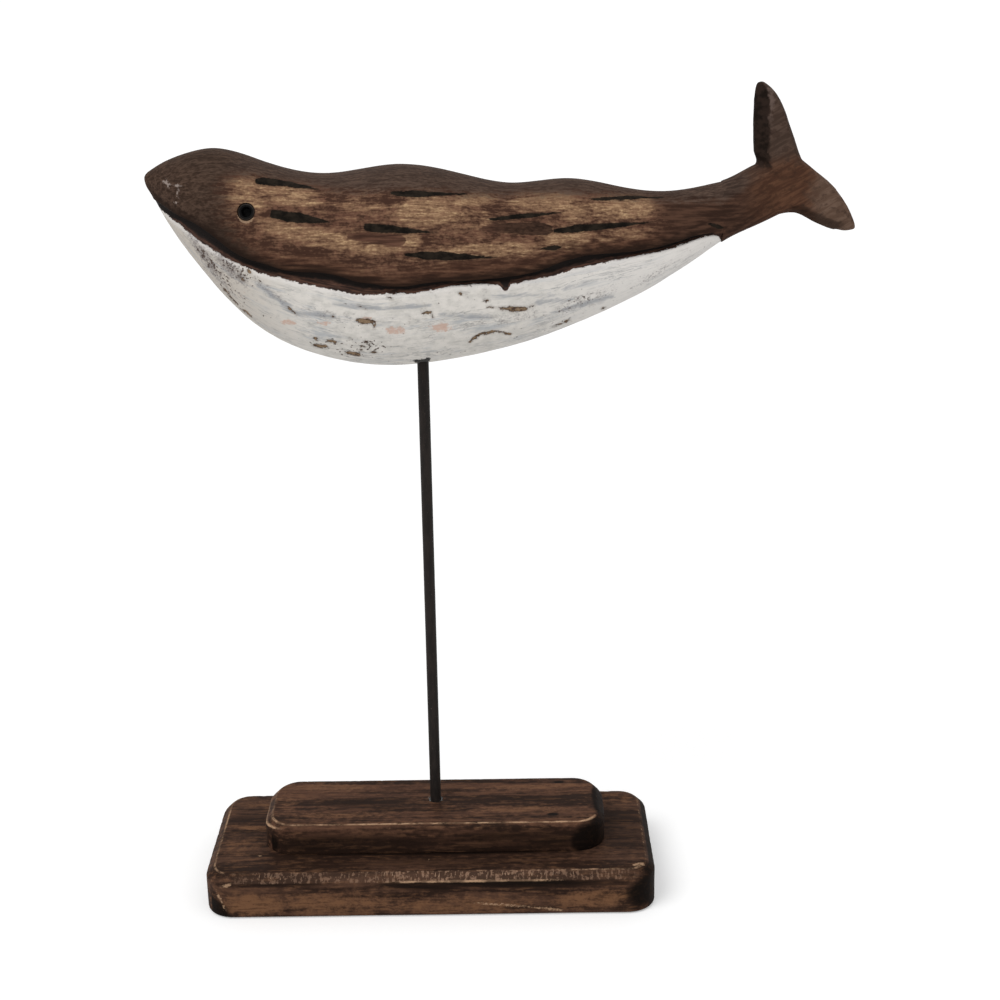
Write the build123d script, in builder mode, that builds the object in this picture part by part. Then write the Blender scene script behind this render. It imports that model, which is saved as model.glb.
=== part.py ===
from build123d import *
from math import radians, tan
import os

# Whale figurine: a carved two-tone whale that stands on a thin steel rod above a stepped wooden base.
# Millimetres. X runs from the nose (-X) to the tail (+X), +Y is away from the viewer, +Z is up.
# The origin is the centre of the lower board's underside.

# Lower board
board_length = 177
board_depth = 70
board_thickness = 18.5
board_corner_radius = 9
board_chamfer = 3
board_foot_ease = 1

# Upper plinth, glued and screwed on the board a little behind its centre
plinth_length = 136
plinth_depth = 39.5
plinth_thickness = 12.8
plinth_corner_radius = 10
plinth_chamfer = 2.4
plinth_setback = 1.3

# Wood screws, driven from below through the board into the plinth
screw_spacing = 84
screw_diameter = 3.5
screw_head_diameter = 7
screw_head_angle = 90
screw_head_recess = 0.6
screw_bite = 8
screw_point_length = 3
screw_slot_width = 0.9
screw_slot_depth = 1
screw_clearance = 0.05

# Support rod, blind in the board and in the whale, a little behind the plinth's centre
rod_diameter = 4
rod_setback = 2.8
rod_clearance = 0.05
rod_depth_in_board = 8
rod_depth_in_whale = 42
rod_end_ease = 0.3
rod_mouth_diameter = 5.8
rod_mouth_depth = 1.4

# Whale body, from the nose to the tail joint. Its lines are drawn as shares of the body's length
# from the nose, and of its height above the keel or of its half width
belly_height = 213
body_length = 208
body_height = 81
body_width = 51
rod_from_nose = 98
seam_step = 1.2
side_fullness = 0.66
back_shares = [
    (0, 0.889), (0.026, 0.926), (0.07, 0.973), (0.12, 1), (0.207, 0.942), (0.313, 0.885), (0.433, 0.916),
    (0.538, 0.877), (0.635, 0.827), (0.731, 0.844), (0.832, 0.8), (0.904, 0.781), (1, 0.82),
]
keel_shares = [
    (0, 0.84), (0.0385, 0.658), (0.096, 0.432), (0.173, 0.21), (0.26, 0.078), (0.365, 0.011), (0.433, 0),
    (0.538, 0.03), (0.644, 0.091), (0.774, 0.209), (0.901, 0.374), (1, 0.544),
]
seam_shares = [
    (0.024, 0.76), (0.079, 0.669), (0.19, 0.517), (0.308, 0.43), (0.387, 0.391), (0.51, 0.414),
    (0.615, 0.414), (0.753, 0.48), (0.889, 0.538), (1, 0.588),
]
half_width_shares = [
    (0, 0.086), (0.019, 0.255), (0.0625, 0.549), (0.135, 0.804), (0.24, 0.965), (0.375, 1),
    (0.543, 0.941), (0.712, 0.737), (0.856, 0.502), (1, 0.314),
]
station_shares = [
    0, 0.012, 0.034, 0.067, 0.115, 0.183, 0.27, 0.365, 0.46, 0.558, 0.654, 0.74, 0.817, 0.885, 0.938, 0.976, 1,
]

# Tail: a short stock and two flukes, carved from one piece and doweled to the body. Its stations are
# shares of the tail's length from the joint, of its rise above the joint's middle and of its thickness
tail_length = 50
tail_rise = 46.2
fluke_thickness = 10.8
upper_bevel = 5.2
lower_bevel = 2.4
trailing_bevel = 1.4
bevel_limit = 0.35
blunt_share = 0.4
stock_shares = [(0.16, -0.151, 0.32, 0.9), (0.34, -0.07, 0.406, 0.7), (0.52, 0.038, 0.363, 0.3)]
upper_fluke_shares = [
    (0.06, 0.36, 0.53, 0.85), (0.385, 0.248, 0.576, 1), (0.58, 0.232, 0.516, 0.89),
    (0.775, 0.228, 0.448, 0.74), (0.905, 0.232, 0.384, 0.61), (1, 0.252, 0.284, 0.37),
]
lower_fluke_shares = [
    (0.4, -0.027, 0.341, 0.85), (0.58, -0.012, 0.393, 0.96), (0.7, -0.075, 0.276, 0.85),
    (0.82, -0.138, 0.174, 0.72), (0.93, -0.144, 0.034, 0.57), (1, -0.138, -0.1, 0.37),
]
dowel_diameter = 6
dowel_length = 22
dowel_clearance = 0.05

# Eyes: hollow rivets pressed into drilled sockets
eye_from_nose = 39.3
eye_height = 60.8
eye_diameter = 6.2
eye_pupil_diameter = 3.3
eye_pupil_depth = 3
eye_length = 4.6
eye_sink = 0.25
eye_lip_ease = 0.5
eye_clearance = 0.05

# Values that follow from the sizes above
whale_y = rod_setback
nose_x = -rod_from_nose
tail_joint_x = nose_x + body_length
joint_height = belly_height + body_height * (back_shares[-1][1] + keel_shares[-1][1]) / 2
rod_bottom = board_thickness - rod_depth_in_board
rod_top = belly_height + rod_depth_in_whale
rod_hole_radius = rod_diameter / 2 + rod_clearance
screw_places = [(-screw_spacing / 2, plinth_setback), (screw_spacing / 2, plinth_setback)]
screw_length = board_thickness + screw_bite - screw_head_recess
screw_head_slope = tan(radians(screw_head_angle / 2))
dowel_plane = Plane((tail_joint_x, whale_y, joint_height), z_dir=(1, 0, 0))


def body_point(share):
    """Side-view point of the body from its shares of length and height."""
    return nose_x + share[0] * body_length, belly_height + share[1] * body_height


def tail_point(length_share, rise_share):
    """Side-view point of the tail from its shares of length and rise."""
    return tail_joint_x + length_share * tail_length, joint_height + rise_share * tail_rise


def side_line(shares):
    """Smooth side-view line of the body through the given shares."""
    with BuildLine(Plane.XZ) as line:
        Spline(*[body_point(share) for share in shares])
    return line.edge()


def point_at(line, x):
    """Point of a line at the station x, found by halving its range."""
    low, high = 0.0, 1.0
    for _ in range(40):
        middle = (low + high) / 2
        if (line @ middle).X < x:
            low = middle
        else:
            high = middle
    return line @ low


def rounded_section(keel, top, half_width):
    """Ends and handles of the four curves round a flat-sided section."""
    middle = (top + keel) / 2
    reach = side_fullness * (top - keel) / 2
    spread = side_fullness * half_width
    return [
        [(half_width, middle), (half_width, middle + reach), (spread, top), (0, top)],
        [(0, top), (-spread, top), (-half_width, middle + reach), (-half_width, middle)],
        [(-half_width, middle), (-half_width, middle - reach), (-spread, keel), (0, keel)],
        [(0, keel), (spread, keel), (half_width, middle - reach), (half_width, middle)],
    ]


def fluke_section(lead, trail, half_thickness, lead_bevel):
    """Corners of a fluke's section, from its bevelled leading edge to its eased trailing edge."""
    chord = trail - lead
    lead_end = lead + min(lead_bevel, bevel_limit * chord)
    trail_start = trail - min(trailing_bevel, bevel_limit * chord)
    blunt = blunt_share * half_thickness
    return [
        (lead, -blunt), (lead_end, -half_thickness), (trail_start, -half_thickness), (trail, -blunt),
        (trail, blunt), (trail_start, half_thickness), (lead_end, half_thickness), (lead, blunt),
    ]


def station_plane(x):
    """Plane across the whale at a station: its x is the whale's width, its y the height."""
    return Plane((x, whale_y, 0), x_dir=(0, 1, 0), z_dir=(1, 0, 0))


back_line = side_line(back_shares)
keel_line = side_line(keel_shares)
with BuildLine():
    half_width_line = Spline(
        *[(nose_x + along * body_length, across * body_width / 2) for along, across in half_width_shares]
    )


def body_section(x, inset):
    """Section of the body at a station, with its sides drawn in by the inset."""
    half_width = point_at(half_width_line, x).Y - inset
    return rounded_section(point_at(keel_line, x).Z, point_at(back_line, x).Z, half_width)


def body_loft(inset):
    """The whale's body from the nose to the tail joint, with its sides drawn in by the inset."""
    with BuildPart() as body:
        for share in station_shares:
            x = nose_x + share * body_length
            with BuildSketch(station_plane(x)):
                with BuildLine():
                    for curve in body_section(x, inset):
                        Bezier(*curve)
                make_face()
        loft()
    return body.part


def seam_region(far_height):
    """Block between the seam and a height above or below the body, wider than the whale."""
    front_x = nose_x - body_width
    with BuildPart() as region:
        with BuildSketch(Plane.XZ.offset(-whale_y)):
            with BuildLine():
                seam = Spline(*[body_point(share) for share in seam_shares])
                mouth_height = body_point(seam_shares[0])[1]
                Line((front_x, mouth_height), seam @ 0)
                Polyline(seam @ 1, (tail_joint_x, far_height), (front_x, far_height), (front_x, mouth_height))
            make_face()
        extrude(amount=body_width, both=True)
    return region.part


def eye_rivet(seat):
    """Hollow rivet that stands on the floor of its socket, with a rounded lip."""
    with BuildPart() as rivet:
        with BuildSketch(seat):
            Circle(eye_diameter / 2)
        extrude(amount=eye_length)
        with BuildSketch(seat.offset(eye_length)):
            Circle(eye_pupil_diameter / 2)
        extrude(amount=-eye_pupil_depth, mode=Mode.SUBTRACT)
        lip = rivet.faces().sort_by(Axis(seat.origin, seat.z_dir))[-1]
        fillet(lip.edges(), eye_lip_ease)
    return rivet.part


# Lower board
with BuildPart() as lower_board:
    with BuildSketch():
        RectangleRounded(board_length, board_depth, board_corner_radius)
    extrude(amount=board_thickness)
    chamfer(lower_board.faces().sort_by(Axis.Z)[-1].edges(), board_chamfer)
    chamfer(lower_board.faces().sort_by(Axis.Z)[0].edges(), board_foot_ease)
    with Locations([Plane((x, y, 0), z_dir=(0, 0, -1)).location for x, y in screw_places]):
        CounterSinkHole(
            screw_diameter / 2 + screw_clearance,
            screw_head_diameter / 2 + screw_head_recess * screw_head_slope + screw_clearance,
            counter_sink_angle=screw_head_angle,
        )
    with BuildSketch(Plane((0, rod_setback, rod_bottom))):
        Circle(rod_hole_radius)
    extrude(amount=rod_depth_in_board, mode=Mode.SUBTRACT)
lower_board.part.label = "lower_board"

# Upper plinth
with BuildPart() as upper_plinth:
    with BuildSketch(Plane((0, plinth_setback, board_thickness))):
        RectangleRounded(plinth_length, plinth_depth, plinth_corner_radius)
    extrude(amount=plinth_thickness)
    chamfer(upper_plinth.faces().sort_by(Axis.Z)[-1].edges(), plinth_chamfer)
    with BuildSketch(Plane((0, rod_setback, board_thickness))):
        Circle(rod_hole_radius)
    extrude(amount=plinth_thickness, mode=Mode.SUBTRACT)
    with BuildSketch(Plane.XY.offset(board_thickness)):
        with Locations(screw_places):
            Circle(screw_diameter / 2 + screw_clearance)
    extrude(amount=screw_bite + screw_clearance, mode=Mode.SUBTRACT)
upper_plinth.part.label = "upper_plinth"

# Wood screws with slotted countersunk heads
with BuildPart() as plinth_screws:
    shank = screw_diameter / 2
    head = screw_head_diameter / 2
    head_length = (head - shank) / screw_head_slope
    for x, y in screw_places:
        with BuildSketch(Plane((x, y, screw_head_recess), x_dir=(1, 0, 0), z_dir=(0, -1, 0))):
            with BuildLine():
                Polyline(
                    (0, 0), (head, 0), (shank, head_length), (shank, screw_length - screw_point_length),
                    (0, screw_length), close=True,
                )
            make_face()
        revolve(axis=Axis((x, y, 0), (0, 0, 1)))
    with BuildSketch(Plane.XY.offset(screw_head_recess)):
        with Locations(screw_places):
            Rectangle(screw_head_diameter, screw_slot_width)
    extrude(amount=screw_slot_depth, mode=Mode.SUBTRACT)
plinth_screws.part.label = "plinth_screws"

# Support rod
with BuildPart() as support_rod:
    with BuildSketch(Plane((0, whale_y, rod_bottom))):
        Circle(rod_diameter / 2)
    extrude(amount=rod_top - rod_bottom)
    chamfer(support_rod.edges(), rod_end_ease)
support_rod.part.label = "support_rod"

# Dark back of the whale, with the sockets of the eyes, the rod and the tail dowel
with BuildPart() as whale_back:
    add(body_loft(0))
    add(seam_region(belly_height + 2 * body_height), mode=Mode.INTERSECT)
    eye_axis = Axis((nose_x + eye_from_nose, whale_y, belly_height + eye_height), (0, -1, 0))
    eye_point, eye_normal = whale_back.part.find_intersection_points(eye_axis)[-1]
    eye_floor = eye_point - eye_normal * (eye_length + eye_sink)
    eye_seats = [
        Plane(
            (eye_floor.X, whale_y + side * (eye_floor.Y - whale_y), eye_floor.Z),
            z_dir=(eye_normal.X, side * eye_normal.Y, eye_normal.Z),
        )
        for side in (1, -1)
    ]
    for seat in eye_seats:
        with BuildSketch(seat):
            Circle(eye_diameter / 2 + eye_clearance)
        extrude(amount=2 * eye_length, mode=Mode.SUBTRACT)
    with BuildSketch(Plane((0, whale_y, belly_height))):
        Circle(rod_hole_radius)
    extrude(amount=rod_depth_in_whale, mode=Mode.SUBTRACT)
    with BuildSketch(dowel_plane):
        Circle(dowel_diameter / 2 + dowel_clearance)
    extrude(amount=-dowel_length / 2, mode=Mode.SUBTRACT)
whale_back.part.label = "whale_back"

# White belly, set in under the back, with the chipped mouth of the rod hole
with BuildPart() as whale_belly:
    add(body_loft(seam_step))
    add(seam_region(belly_height - body_height), mode=Mode.INTERSECT)
    with BuildSketch(Plane((0, whale_y, belly_height))):
        Circle(rod_hole_radius)
    extrude(amount=rod_depth_in_whale, both=True, mode=Mode.SUBTRACT)
    with BuildSketch(Plane((0, whale_y, belly_height))):
        Circle(rod_mouth_diameter / 2)
    extrude(amount=rod_mouth_depth, both=True, mode=Mode.SUBTRACT)
whale_belly.part.label = "whale_belly"

# Tail, with the socket of the dowel
with BuildPart() as whale_tail:
    with BuildSketch(station_plane(tail_joint_x)):
        with BuildLine():
            for curve in body_section(tail_joint_x, 0):
                Bezier(*curve)
        make_face()
    joint_half_width = half_width_shares[-1][1] * body_width / 2
    for along, keel, top, across in stock_shares:
        stock_x, stock_keel = tail_point(along, keel)
        stock_top = tail_point(along, top)[1]
        with BuildSketch(station_plane(stock_x)):
            with BuildLine():
                for curve in rounded_section(stock_keel, stock_top, across * joint_half_width):
                    Bezier(*curve)
            make_face()
    loft()
    for up, lead, trail, across in upper_fluke_shares:
        lead_x, fluke_height = tail_point(lead, up)
        trail_x = tail_point(trail, up)[0]
        with BuildSketch(Plane((0, whale_y, fluke_height))):
            corners = fluke_section(lead_x, trail_x, across * fluke_thickness / 2, upper_bevel)
            Polygon(*corners, align=None)
    loft()
    for along, lead, trail, across in lower_fluke_shares:
        fluke_x, lead_height = tail_point(along, lead)
        trail_height = tail_point(along, trail)[1]
        with BuildSketch(Plane((fluke_x, whale_y, 0), x_dir=(0, 0, 1), z_dir=(1, 0, 0))):
            corners = fluke_section(lead_height, trail_height, across * fluke_thickness / 2, lower_bevel)
            Polygon(*corners, align=None)
    loft()
    with BuildSketch(dowel_plane):
        Circle(dowel_diameter / 2 + dowel_clearance)
    extrude(amount=dowel_length / 2, mode=Mode.SUBTRACT)
whale_tail.part.label = "whale_tail"

# Dowel between body and tail
with BuildPart() as tail_dowel:
    with BuildSketch(dowel_plane):
        Circle(dowel_diameter / 2)
    extrude(amount=dowel_length / 2, both=True)
tail_dowel.part.label = "tail_dowel"

# Eyes: the whale's left eye faces the viewer
with BuildPart() as left_eye:
    add(eye_rivet(eye_seats[0]))
left_eye.part.label = "left_eye"
with BuildPart() as right_eye:
    add(eye_rivet(eye_seats[1]))
right_eye.part.label = "right_eye"

os.makedirs("parts", exist_ok=True)
pieces = [
    lower_board, upper_plinth, plinth_screws, support_rod, whale_back, whale_belly, whale_tail,
    tail_dowel, left_eye, right_eye,
]
for piece in pieces:
    export_step(piece.part, f"parts/{piece.part.label}.step")
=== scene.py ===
import math
from contextlib import contextmanager

import bmesh
import bpy
import numpy as np
from mathutils import Matrix, Vector, noise


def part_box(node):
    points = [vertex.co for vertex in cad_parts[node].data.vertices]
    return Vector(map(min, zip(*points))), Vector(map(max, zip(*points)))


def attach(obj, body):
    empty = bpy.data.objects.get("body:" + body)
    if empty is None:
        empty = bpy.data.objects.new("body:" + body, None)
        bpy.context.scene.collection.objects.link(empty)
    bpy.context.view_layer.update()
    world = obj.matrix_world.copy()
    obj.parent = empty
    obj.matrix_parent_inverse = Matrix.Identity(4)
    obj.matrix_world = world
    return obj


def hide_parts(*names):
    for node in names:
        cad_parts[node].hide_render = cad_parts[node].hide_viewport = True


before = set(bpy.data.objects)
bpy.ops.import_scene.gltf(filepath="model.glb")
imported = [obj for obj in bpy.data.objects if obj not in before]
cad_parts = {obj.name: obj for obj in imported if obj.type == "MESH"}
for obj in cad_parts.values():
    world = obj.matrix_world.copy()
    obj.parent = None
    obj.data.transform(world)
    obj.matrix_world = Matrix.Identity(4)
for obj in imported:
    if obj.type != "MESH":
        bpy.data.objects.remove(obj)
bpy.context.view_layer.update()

# Whale figurine: a carved two-tone whale that stands on a thin rod above a stepped wooden base.
# Blender works in metres. Shapes are worked out in millimetres, and make_object brings them to metres.
# The nose points to -X, the viewer stands at -Y and +Z is up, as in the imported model.

MM = 0.001


def box_mm(node):
    """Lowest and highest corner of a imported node, in millimetres."""
    low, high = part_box(node)
    return np.array(low) / MM, np.array(high) / MM


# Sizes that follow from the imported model
back_low, back_high = box_mm("whale_back")
nose_reach = 0.6
nose_x = back_low[0] - nose_reach
body_length = back_high[0] - nose_x
tail_joint_x = back_high[0]
keel_height = box_mm("whale_belly")[0][2]
body_height = back_high[2] - keel_height
half_breadth = (back_high[1] - back_low[1]) / 2
whale_y = (back_high[1] + back_low[1]) / 2
rod_low, rod_high = box_mm("support_rod")
rod_paint, rod_clearance = 0.18, 0.12
rod_radius = (rod_high[0] - rod_low[0]) / 2 + rod_paint
rod_hole_radius = rod_radius + rod_clearance
rod_along = (0 - nose_x) / body_length
dowel_low, dowel_high = box_mm("tail_dowel")
board_low, board_high = box_mm("lower_board")
plinth_low, plinth_high = box_mm("upper_plinth")
screw_low, screw_high = box_mm("plinth_screws")

# Lines of the whale's body: shares of its length from the nose, and of its height or half breadth
side_fullness = 0.66
back_shares = [
    (0, 0.889), (0.026, 0.931), (0.07, 0.977), (0.12, 1), (0.207, 0.937), (0.313, 0.88), (0.433, 0.916),
    (0.538, 0.877), (0.635, 0.827), (0.731, 0.844), (0.832, 0.8), (0.904, 0.781), (1, 0.82),
]
keel_shares = [
    (0, 0.84), (0.0385, 0.664), (0.096, 0.446), (0.173, 0.22), (0.26, 0.085), (0.365, 0.011), (0.433, 0),
    (0.538, 0.03), (0.644, 0.091), (0.774, 0.209), (0.901, 0.374), (1, 0.544),
]
breadth_shares = [
    (0, 0.086), (0.019, 0.255), (0.0625, 0.549), (0.135, 0.804), (0.24, 0.965), (0.375, 1),
    (0.543, 0.941), (0.712, 0.737), (0.856, 0.502), (1, 0.314),
]
# Upper edge of the white paint, and the lip of the back above it. The carved groove lies between them.
paint_shares = [
    (0, 0.775), (0.03, 0.738), (0.061, 0.693), (0.102, 0.618), (0.142, 0.557), (0.2, 0.495),
    (0.252, 0.458), (0.304, 0.426), (0.355, 0.397), (0.385, 0.385), (0.43, 0.391), (0.468, 0.393),
    (0.507, 0.407), (0.546, 0.419), (0.591, 0.42), (0.63, 0.417), (0.669, 0.434), (0.71, 0.445),
    (0.735, 0.466), (0.769, 0.482), (0.817, 0.5), (0.878, 0.522), (0.934, 0.558), (0.967, 0.586),
    (0.985, 0.592), (1, 0.578),
]
lip_shares = [
    (0, 0.8), (0.024, 0.777), (0.064, 0.729), (0.119, 0.661), (0.144, 0.61), (0.177, 0.559),
    (0.21, 0.53), (0.253, 0.499), (0.305, 0.49), (0.331, 0.481), (0.357, 0.459), (0.4, 0.434),
    (0.442, 0.422), (0.495, 0.437), (0.547, 0.441), (0.595, 0.445), (0.624, 0.45), (0.669, 0.466),
    (0.709, 0.496), (0.735, 0.516), (0.762, 0.528), (0.8, 0.532), (0.85, 0.538), (0.917, 0.568),
    (0.967, 0.6), (1, 0.597),
]
# Lower border of the dark band along the crown
crown_shares = [
    (0.12, 0.92), (0.194, 0.889), (0.277, 0.852), (0.346, 0.825), (0.448, 0.83), (0.532, 0.811),
    (0.617, 0.789), (0.72, 0.791), (0.824, 0.769), (0.893, 0.752), (1, 0.74),
]
# Border of the dark head, as (height, x)
head_border = [
    (246.0, -42.0), (252.0, -51.0), (259.0, -60.0), (269.5, -67.0), (287.0, -67.0), (296.0, -61.0),
]
# Between these heights the head gets darker downwards as painted shade, and between these places the smears
# get darker
head_painted_shade = (278.0, 262.0)
smear_shade = (20.0, 34.0)
# Where the brown wood of the rump begins
rump_start = 88.0
# Wood that sanding takes off the sawn keel and crown
keel_trim = 0.7
crown_trim = 0.4
# Rings along back and belly, crowded towards the nose, and points of a ring's side and of its hidden flat
back_stations, belly_stations, nose_crowding = 380, 360, 1.15
back_turns, belly_turns, flat_turns = 92, 80, 12

# Carving along the groove
lip_radius = 0.8
lip_undercut = 2.2
belly_step = 1.2
groove_depth = 1.9
nose_round = 1.3
# Shares of the length between which the groove closes towards the tail
groove_closing = (0.93, 0.995)
# Painted shadow that reaches further into the groove: amount, way along X, start and end
groove_painted_shadow = [(0.08, 1, 32.0, 48.0), (0.18, -1, 44.0, 56.0), (0.5, -1, 84.0, 92.0)]
# Paint chipped off at the viewer's side of the rod's mouth, darkened near black as painted shade: how far it
# reaches, how much it widens and how far it lies to the right
mouth_reach, mouth_flare, mouth_shift = 13.2, 0.9, 0.3
# Notch in the upper edge of the white: place, depth, reach to the left and to the right
notch_x, notch_depth, notch_left, notch_right = 31.6, 2.4, 1.9, 0.9
# Where the upper edge of the white is most ragged: place and spread
ragged_x, ragged_spread = 53.0, 12.0

# Burnt strokes on the viewer's side of the back: left end, right end, thickness, fullness at the left end
# and share of the length where the stroke is thickest
back_strokes = [
    ((-56.6, 284.0), (-34.5, 280.4), 2.2, 0.5, 0.15),
    ((-51.0, 273.2), (-30.0, 270.0), 3.4, 0.75, 0.45),
    ((-18.2, 268.3), (8.0, 266.0), 3.0, 0.7, 0.2),
    ((-9.0, 279.3), (19.5, 278.0), 2.3, 0.45, 0.25),
    ((-4.2, 258.7), (28.0, 256.8), 3.1, 0.2, 0.4),
    ((24.8, 269.6), (51.5, 271.2), 1.9, 0.2, 0.4),
    ((48.4, 265.2), (84.5, 266.6), 2.7, 0.45, 0.25),
    ((61.0, 275.2), (91.0, 274.4), 1.3, 0.3, 0.3),
    ((43.6, 259.2), (51.6, 259.4), 1.6, 0.1, 0.6),
    ((104.4, 265.4), (110.6, 263.4), 1.6, 0.3, 0.6),
]
# Blunt strokes of thinner, browner stain
back_smears = [
    ((-24.5, 265.2), (-3.4, 263.4), 4.2),
    ((23.0, 267.0), (48.4, 265.6), 4.4),
]
# Pale scuffs on the snout
back_scuffs = [
    ((-90.2, 283.4), (-86.9, 282.6), 0.75), ((-86.4, 282.7), (-82.9, 282.2), 0.75),
    ((-84.3, 281.6), (-84.6, 278.2), 0.4), ((-85.8, 276.6), (-84.8, 276.5), 0.8),
    ((-88.8, 284.4), (-88.0, 281.8), 0.45),
]
# Worn places where the pale wood shows: middle, half length, half height, slope, strength
back_worn = [
    ((-58.5, 279.6), 10.0, 8.6, -0.15, 0.8),
    ((-43.0, 278.4), 13.0, 3.6, -0.14, 0.95),
    ((-36.0, 265.6), 24.0, 3.8, -0.24, 1.1),
    ((-20.0, 275.5), 12.0, 3.0, 0.0, 0.5),
    ((3.5, 273.0), 12.0, 6.5, 0.0, 1.3),
    ((20.0, 276.4), 10.0, 2.4, 0.0, 0.9),
    ((18.0, 270.0), 12.0, 4.0, 0.0, 0.55),
    ((-1.6, 264.0), 4.2, 3.2, 0.0, 1.15),
    ((-14.0, 260.6), 18.0, 2.6, -0.05, 0.8),
    ((22.0, 259.0), 28.0, 3.2, 0.02, 1.15),
    ((45.0, 274.6), 14.0, 3.8, -0.02, 1.15),
    ((57.0, 270.8), 7.0, 4.0, -0.02, 1.1),
    ((73.0, 271.8), 14.0, 5.0, -0.02, 1.2),
    ((53.0, 262.2), 10.0, 5.0, 0.05, 1.15),
    ((72.0, 262.6), 12.0, 2.8, 0.06, 0.65),
]
# The far side carries the same marks, moved a little
far_shift = np.array([6.5, -1.2])

# Eyes: hollow rivets, whose sockets are drilled square to the whale's side
eye_radius = 3.1
eye_bore = 1.65
eye_length = 4.6
eye_bore_depth = 3.0
eye_slant = Vector((-0.042, -0.963, 0.268)).normalized()
socket_clearance = 0.12
eye_shift = (-0.95, 0.22, 0.3)

# Places along X between which the white goes grey to the nose, goes paler to the tail as painted light, and
# loses its wisps
belly_grey, belly_painted_light, belly_calm = (-38.0, -72.0), (26.0, 80.0), (30.0, 60.0)
# Missing paint on the belly: left end, right end, thickness
belly_chips = [
    ((-22.6, 235.0), (-15.2, 234.2), 2.2),
    ((-15.9, 234.8), (-16.2, 231.4), 0.9),
    ((-21.4, 240.8), (-18.4, 239.0), 0.5),
    ((24.6, 238.5), (32.6, 237.9), 0.5),
    ((30.8, 237.7), (38.8, 237.3), 2.2),
    ((39.6, 238.0), (41.4, 238.4), 0.9),
    ((17.4, 224.8), (21.9, 228.6), 0.9),
    ((21.2, 228.4), (28.6, 229.2), 1.0),
    ((27.4, 229.1), (33.0, 227.4), 0.8),
    ((48.0, 228.9), (51.6, 230.2), 0.8),
    ((52.0, 230.4), (54.4, 231.3), 0.8),
    ((66.0, 234.5), (67.6, 235.0), 0.9),
    ((1.0, 237.2), (4.8, 237.6), 0.7),
    ((4.5, 237.6), (5.2, 235.4), 0.6),
    ((-11.2, 243.8), (-9.2, 242.2), 0.7),
    ((14.6, 244.2), (15.7, 244.0), 0.9),
    ((23.4, 241.2), (25.2, 241.0), 0.9),
    ((-46.6, 240.2), (-43.8, 237.2), 0.7),
    ((-31.0, 236.9), (-30.1, 236.4), 0.7),
    ((-38.4, 228.0), (-36.2, 227.6), 1.2),
    ((-33.6, 227.0), (-29.6, 226.3), 1.2),
    ((-39.0, 224.7), (-33.2, 223.9), 1.8),
    ((-25.6, 228.0), (-24.4, 227.8), 0.9),
    ((-20.4, 226.7), (-18.2, 226.2), 1.1),
    ((-21.6, 224.7), (-19.8, 224.3), 1.0),
    ((-27.2, 221.7), (-21.8, 220.9), 1.8),
    ((-17.8, 222.1), (-15.6, 221.6), 0.9),
    ((-22.2, 223.1), (-20.8, 222.8), 0.8),
    ((-68.6, 242.8), (-65.4, 239.4), 1.1),
    ((-64.0, 237.6), (-60.6, 234.6), 1.1),
    ((-70.4, 245.6), (-68.8, 243.8), 0.9),
    ((-60.6, 253.5), (-58.8, 252.5), 1.1),
    ((-63.8, 251.4), (-61.4, 249.2), 1.0),
]
# Thin grey lines where the wash of the paint ran dry
belly_washes = [
    ((-57.0, 248.8), (-50.4, 243.0), 1.3), ((-50.8, 243.4), (-44.0, 238.0), 1.5),
    ((-44.6, 238.2), (-30.0, 236.5), 1.2), ((-30.0, 241.6), (-12.0, 239.0), 1.0),
    ((-12.0, 239.2), (4.0, 240.2), 1.1), ((8.0, 236.4), (26.0, 234.8), 0.9),
    ((24.0, 243.2), (38.0, 242.4), 0.8), ((37.0, 242.6), (50.0, 241.6), 1.0),
    ((42.0, 239.4), (56.0, 240.0), 0.9), ((52.0, 243.4), (64.0, 246.2), 0.9),
    ((48.0, 235.0), (70.0, 240.0), 0.8),
]
# Peach undercoat that shows through: middle, half length, half height
belly_peach = [
    ((-46.6, 234.2), 3.4, 1.4), ((-34.1, 234.0), 3.0, 1.1), ((-8.1, 230.9), 4.2, 1.9),
    ((8.0, 231.6), 4.6, 2.0), ((-18.4, 235.8), 2.4, 0.8),
]
# Clusters of pits in the paint: middle, half length, half height, slope, strength
belly_pits = [
    ((-19.0, 225.0), 9.0, 3.6, -0.1, 1.0),
    ((-25.0, 221.6), 10.0, 2.4, -0.12, 1.0),
    ((-35.0, 226.0), 7.0, 3.4, -0.1, 1.0),
    ((-66.0, 240.5), 8.0, 2.2, -1.2, 1.0),
    ((-72.0, 253.0), 9.0, 3.4, -1.2, 1.1),
    ((-61.5, 251.5), 6.0, 3.0, -0.5, 1.0),
    ((50.0, 230.5), 8.0, 2.0, 0.3, 0.7),
    ((57.0, 238.0), 9.0, 3.0, 0.3, 0.7),
]
# Grey rubbed places: middle, half length, half height, slope, strength
belly_rubbed = [
    ((-75.8, 257.2), 7.5, 4.6, -1.4, 1.0),
    ((-66.6, 253.8), 8.0, 4.4, -0.75, 0.95),
    ((-71.0, 252.0), 8.0, 7.0, -1.0, 0.6),
    ((-54.0, 247.0), 9.0, 2.6, -0.7, 0.6),
    ((-30.0, 237.0), 16.0, 2.2, -0.15, 0.45),
    ((60.0, 239.5), 15.0, 3.2, 0.35, 0.55),
    ((30.0, 234.0), 18.0, 2.6, 0.12, 0.5),
    ((86.0, 247.5), 9.0, 2.4, 0.6, 0.5),
]

# Tail: wavy border of the dark leading facet of the upper fluke, as (x, z)
facet_border = [
    (126.8, 281.0), (126.4, 285.5), (125.6, 291.7), (126.0, 296.9), (125.0, 302.1), (125.8, 306.4),
    (125.2, 310.7), (123.0, 314.0),
]
facet_root = (121.0, 285.5)
facet_root_slope = -0.25
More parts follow.
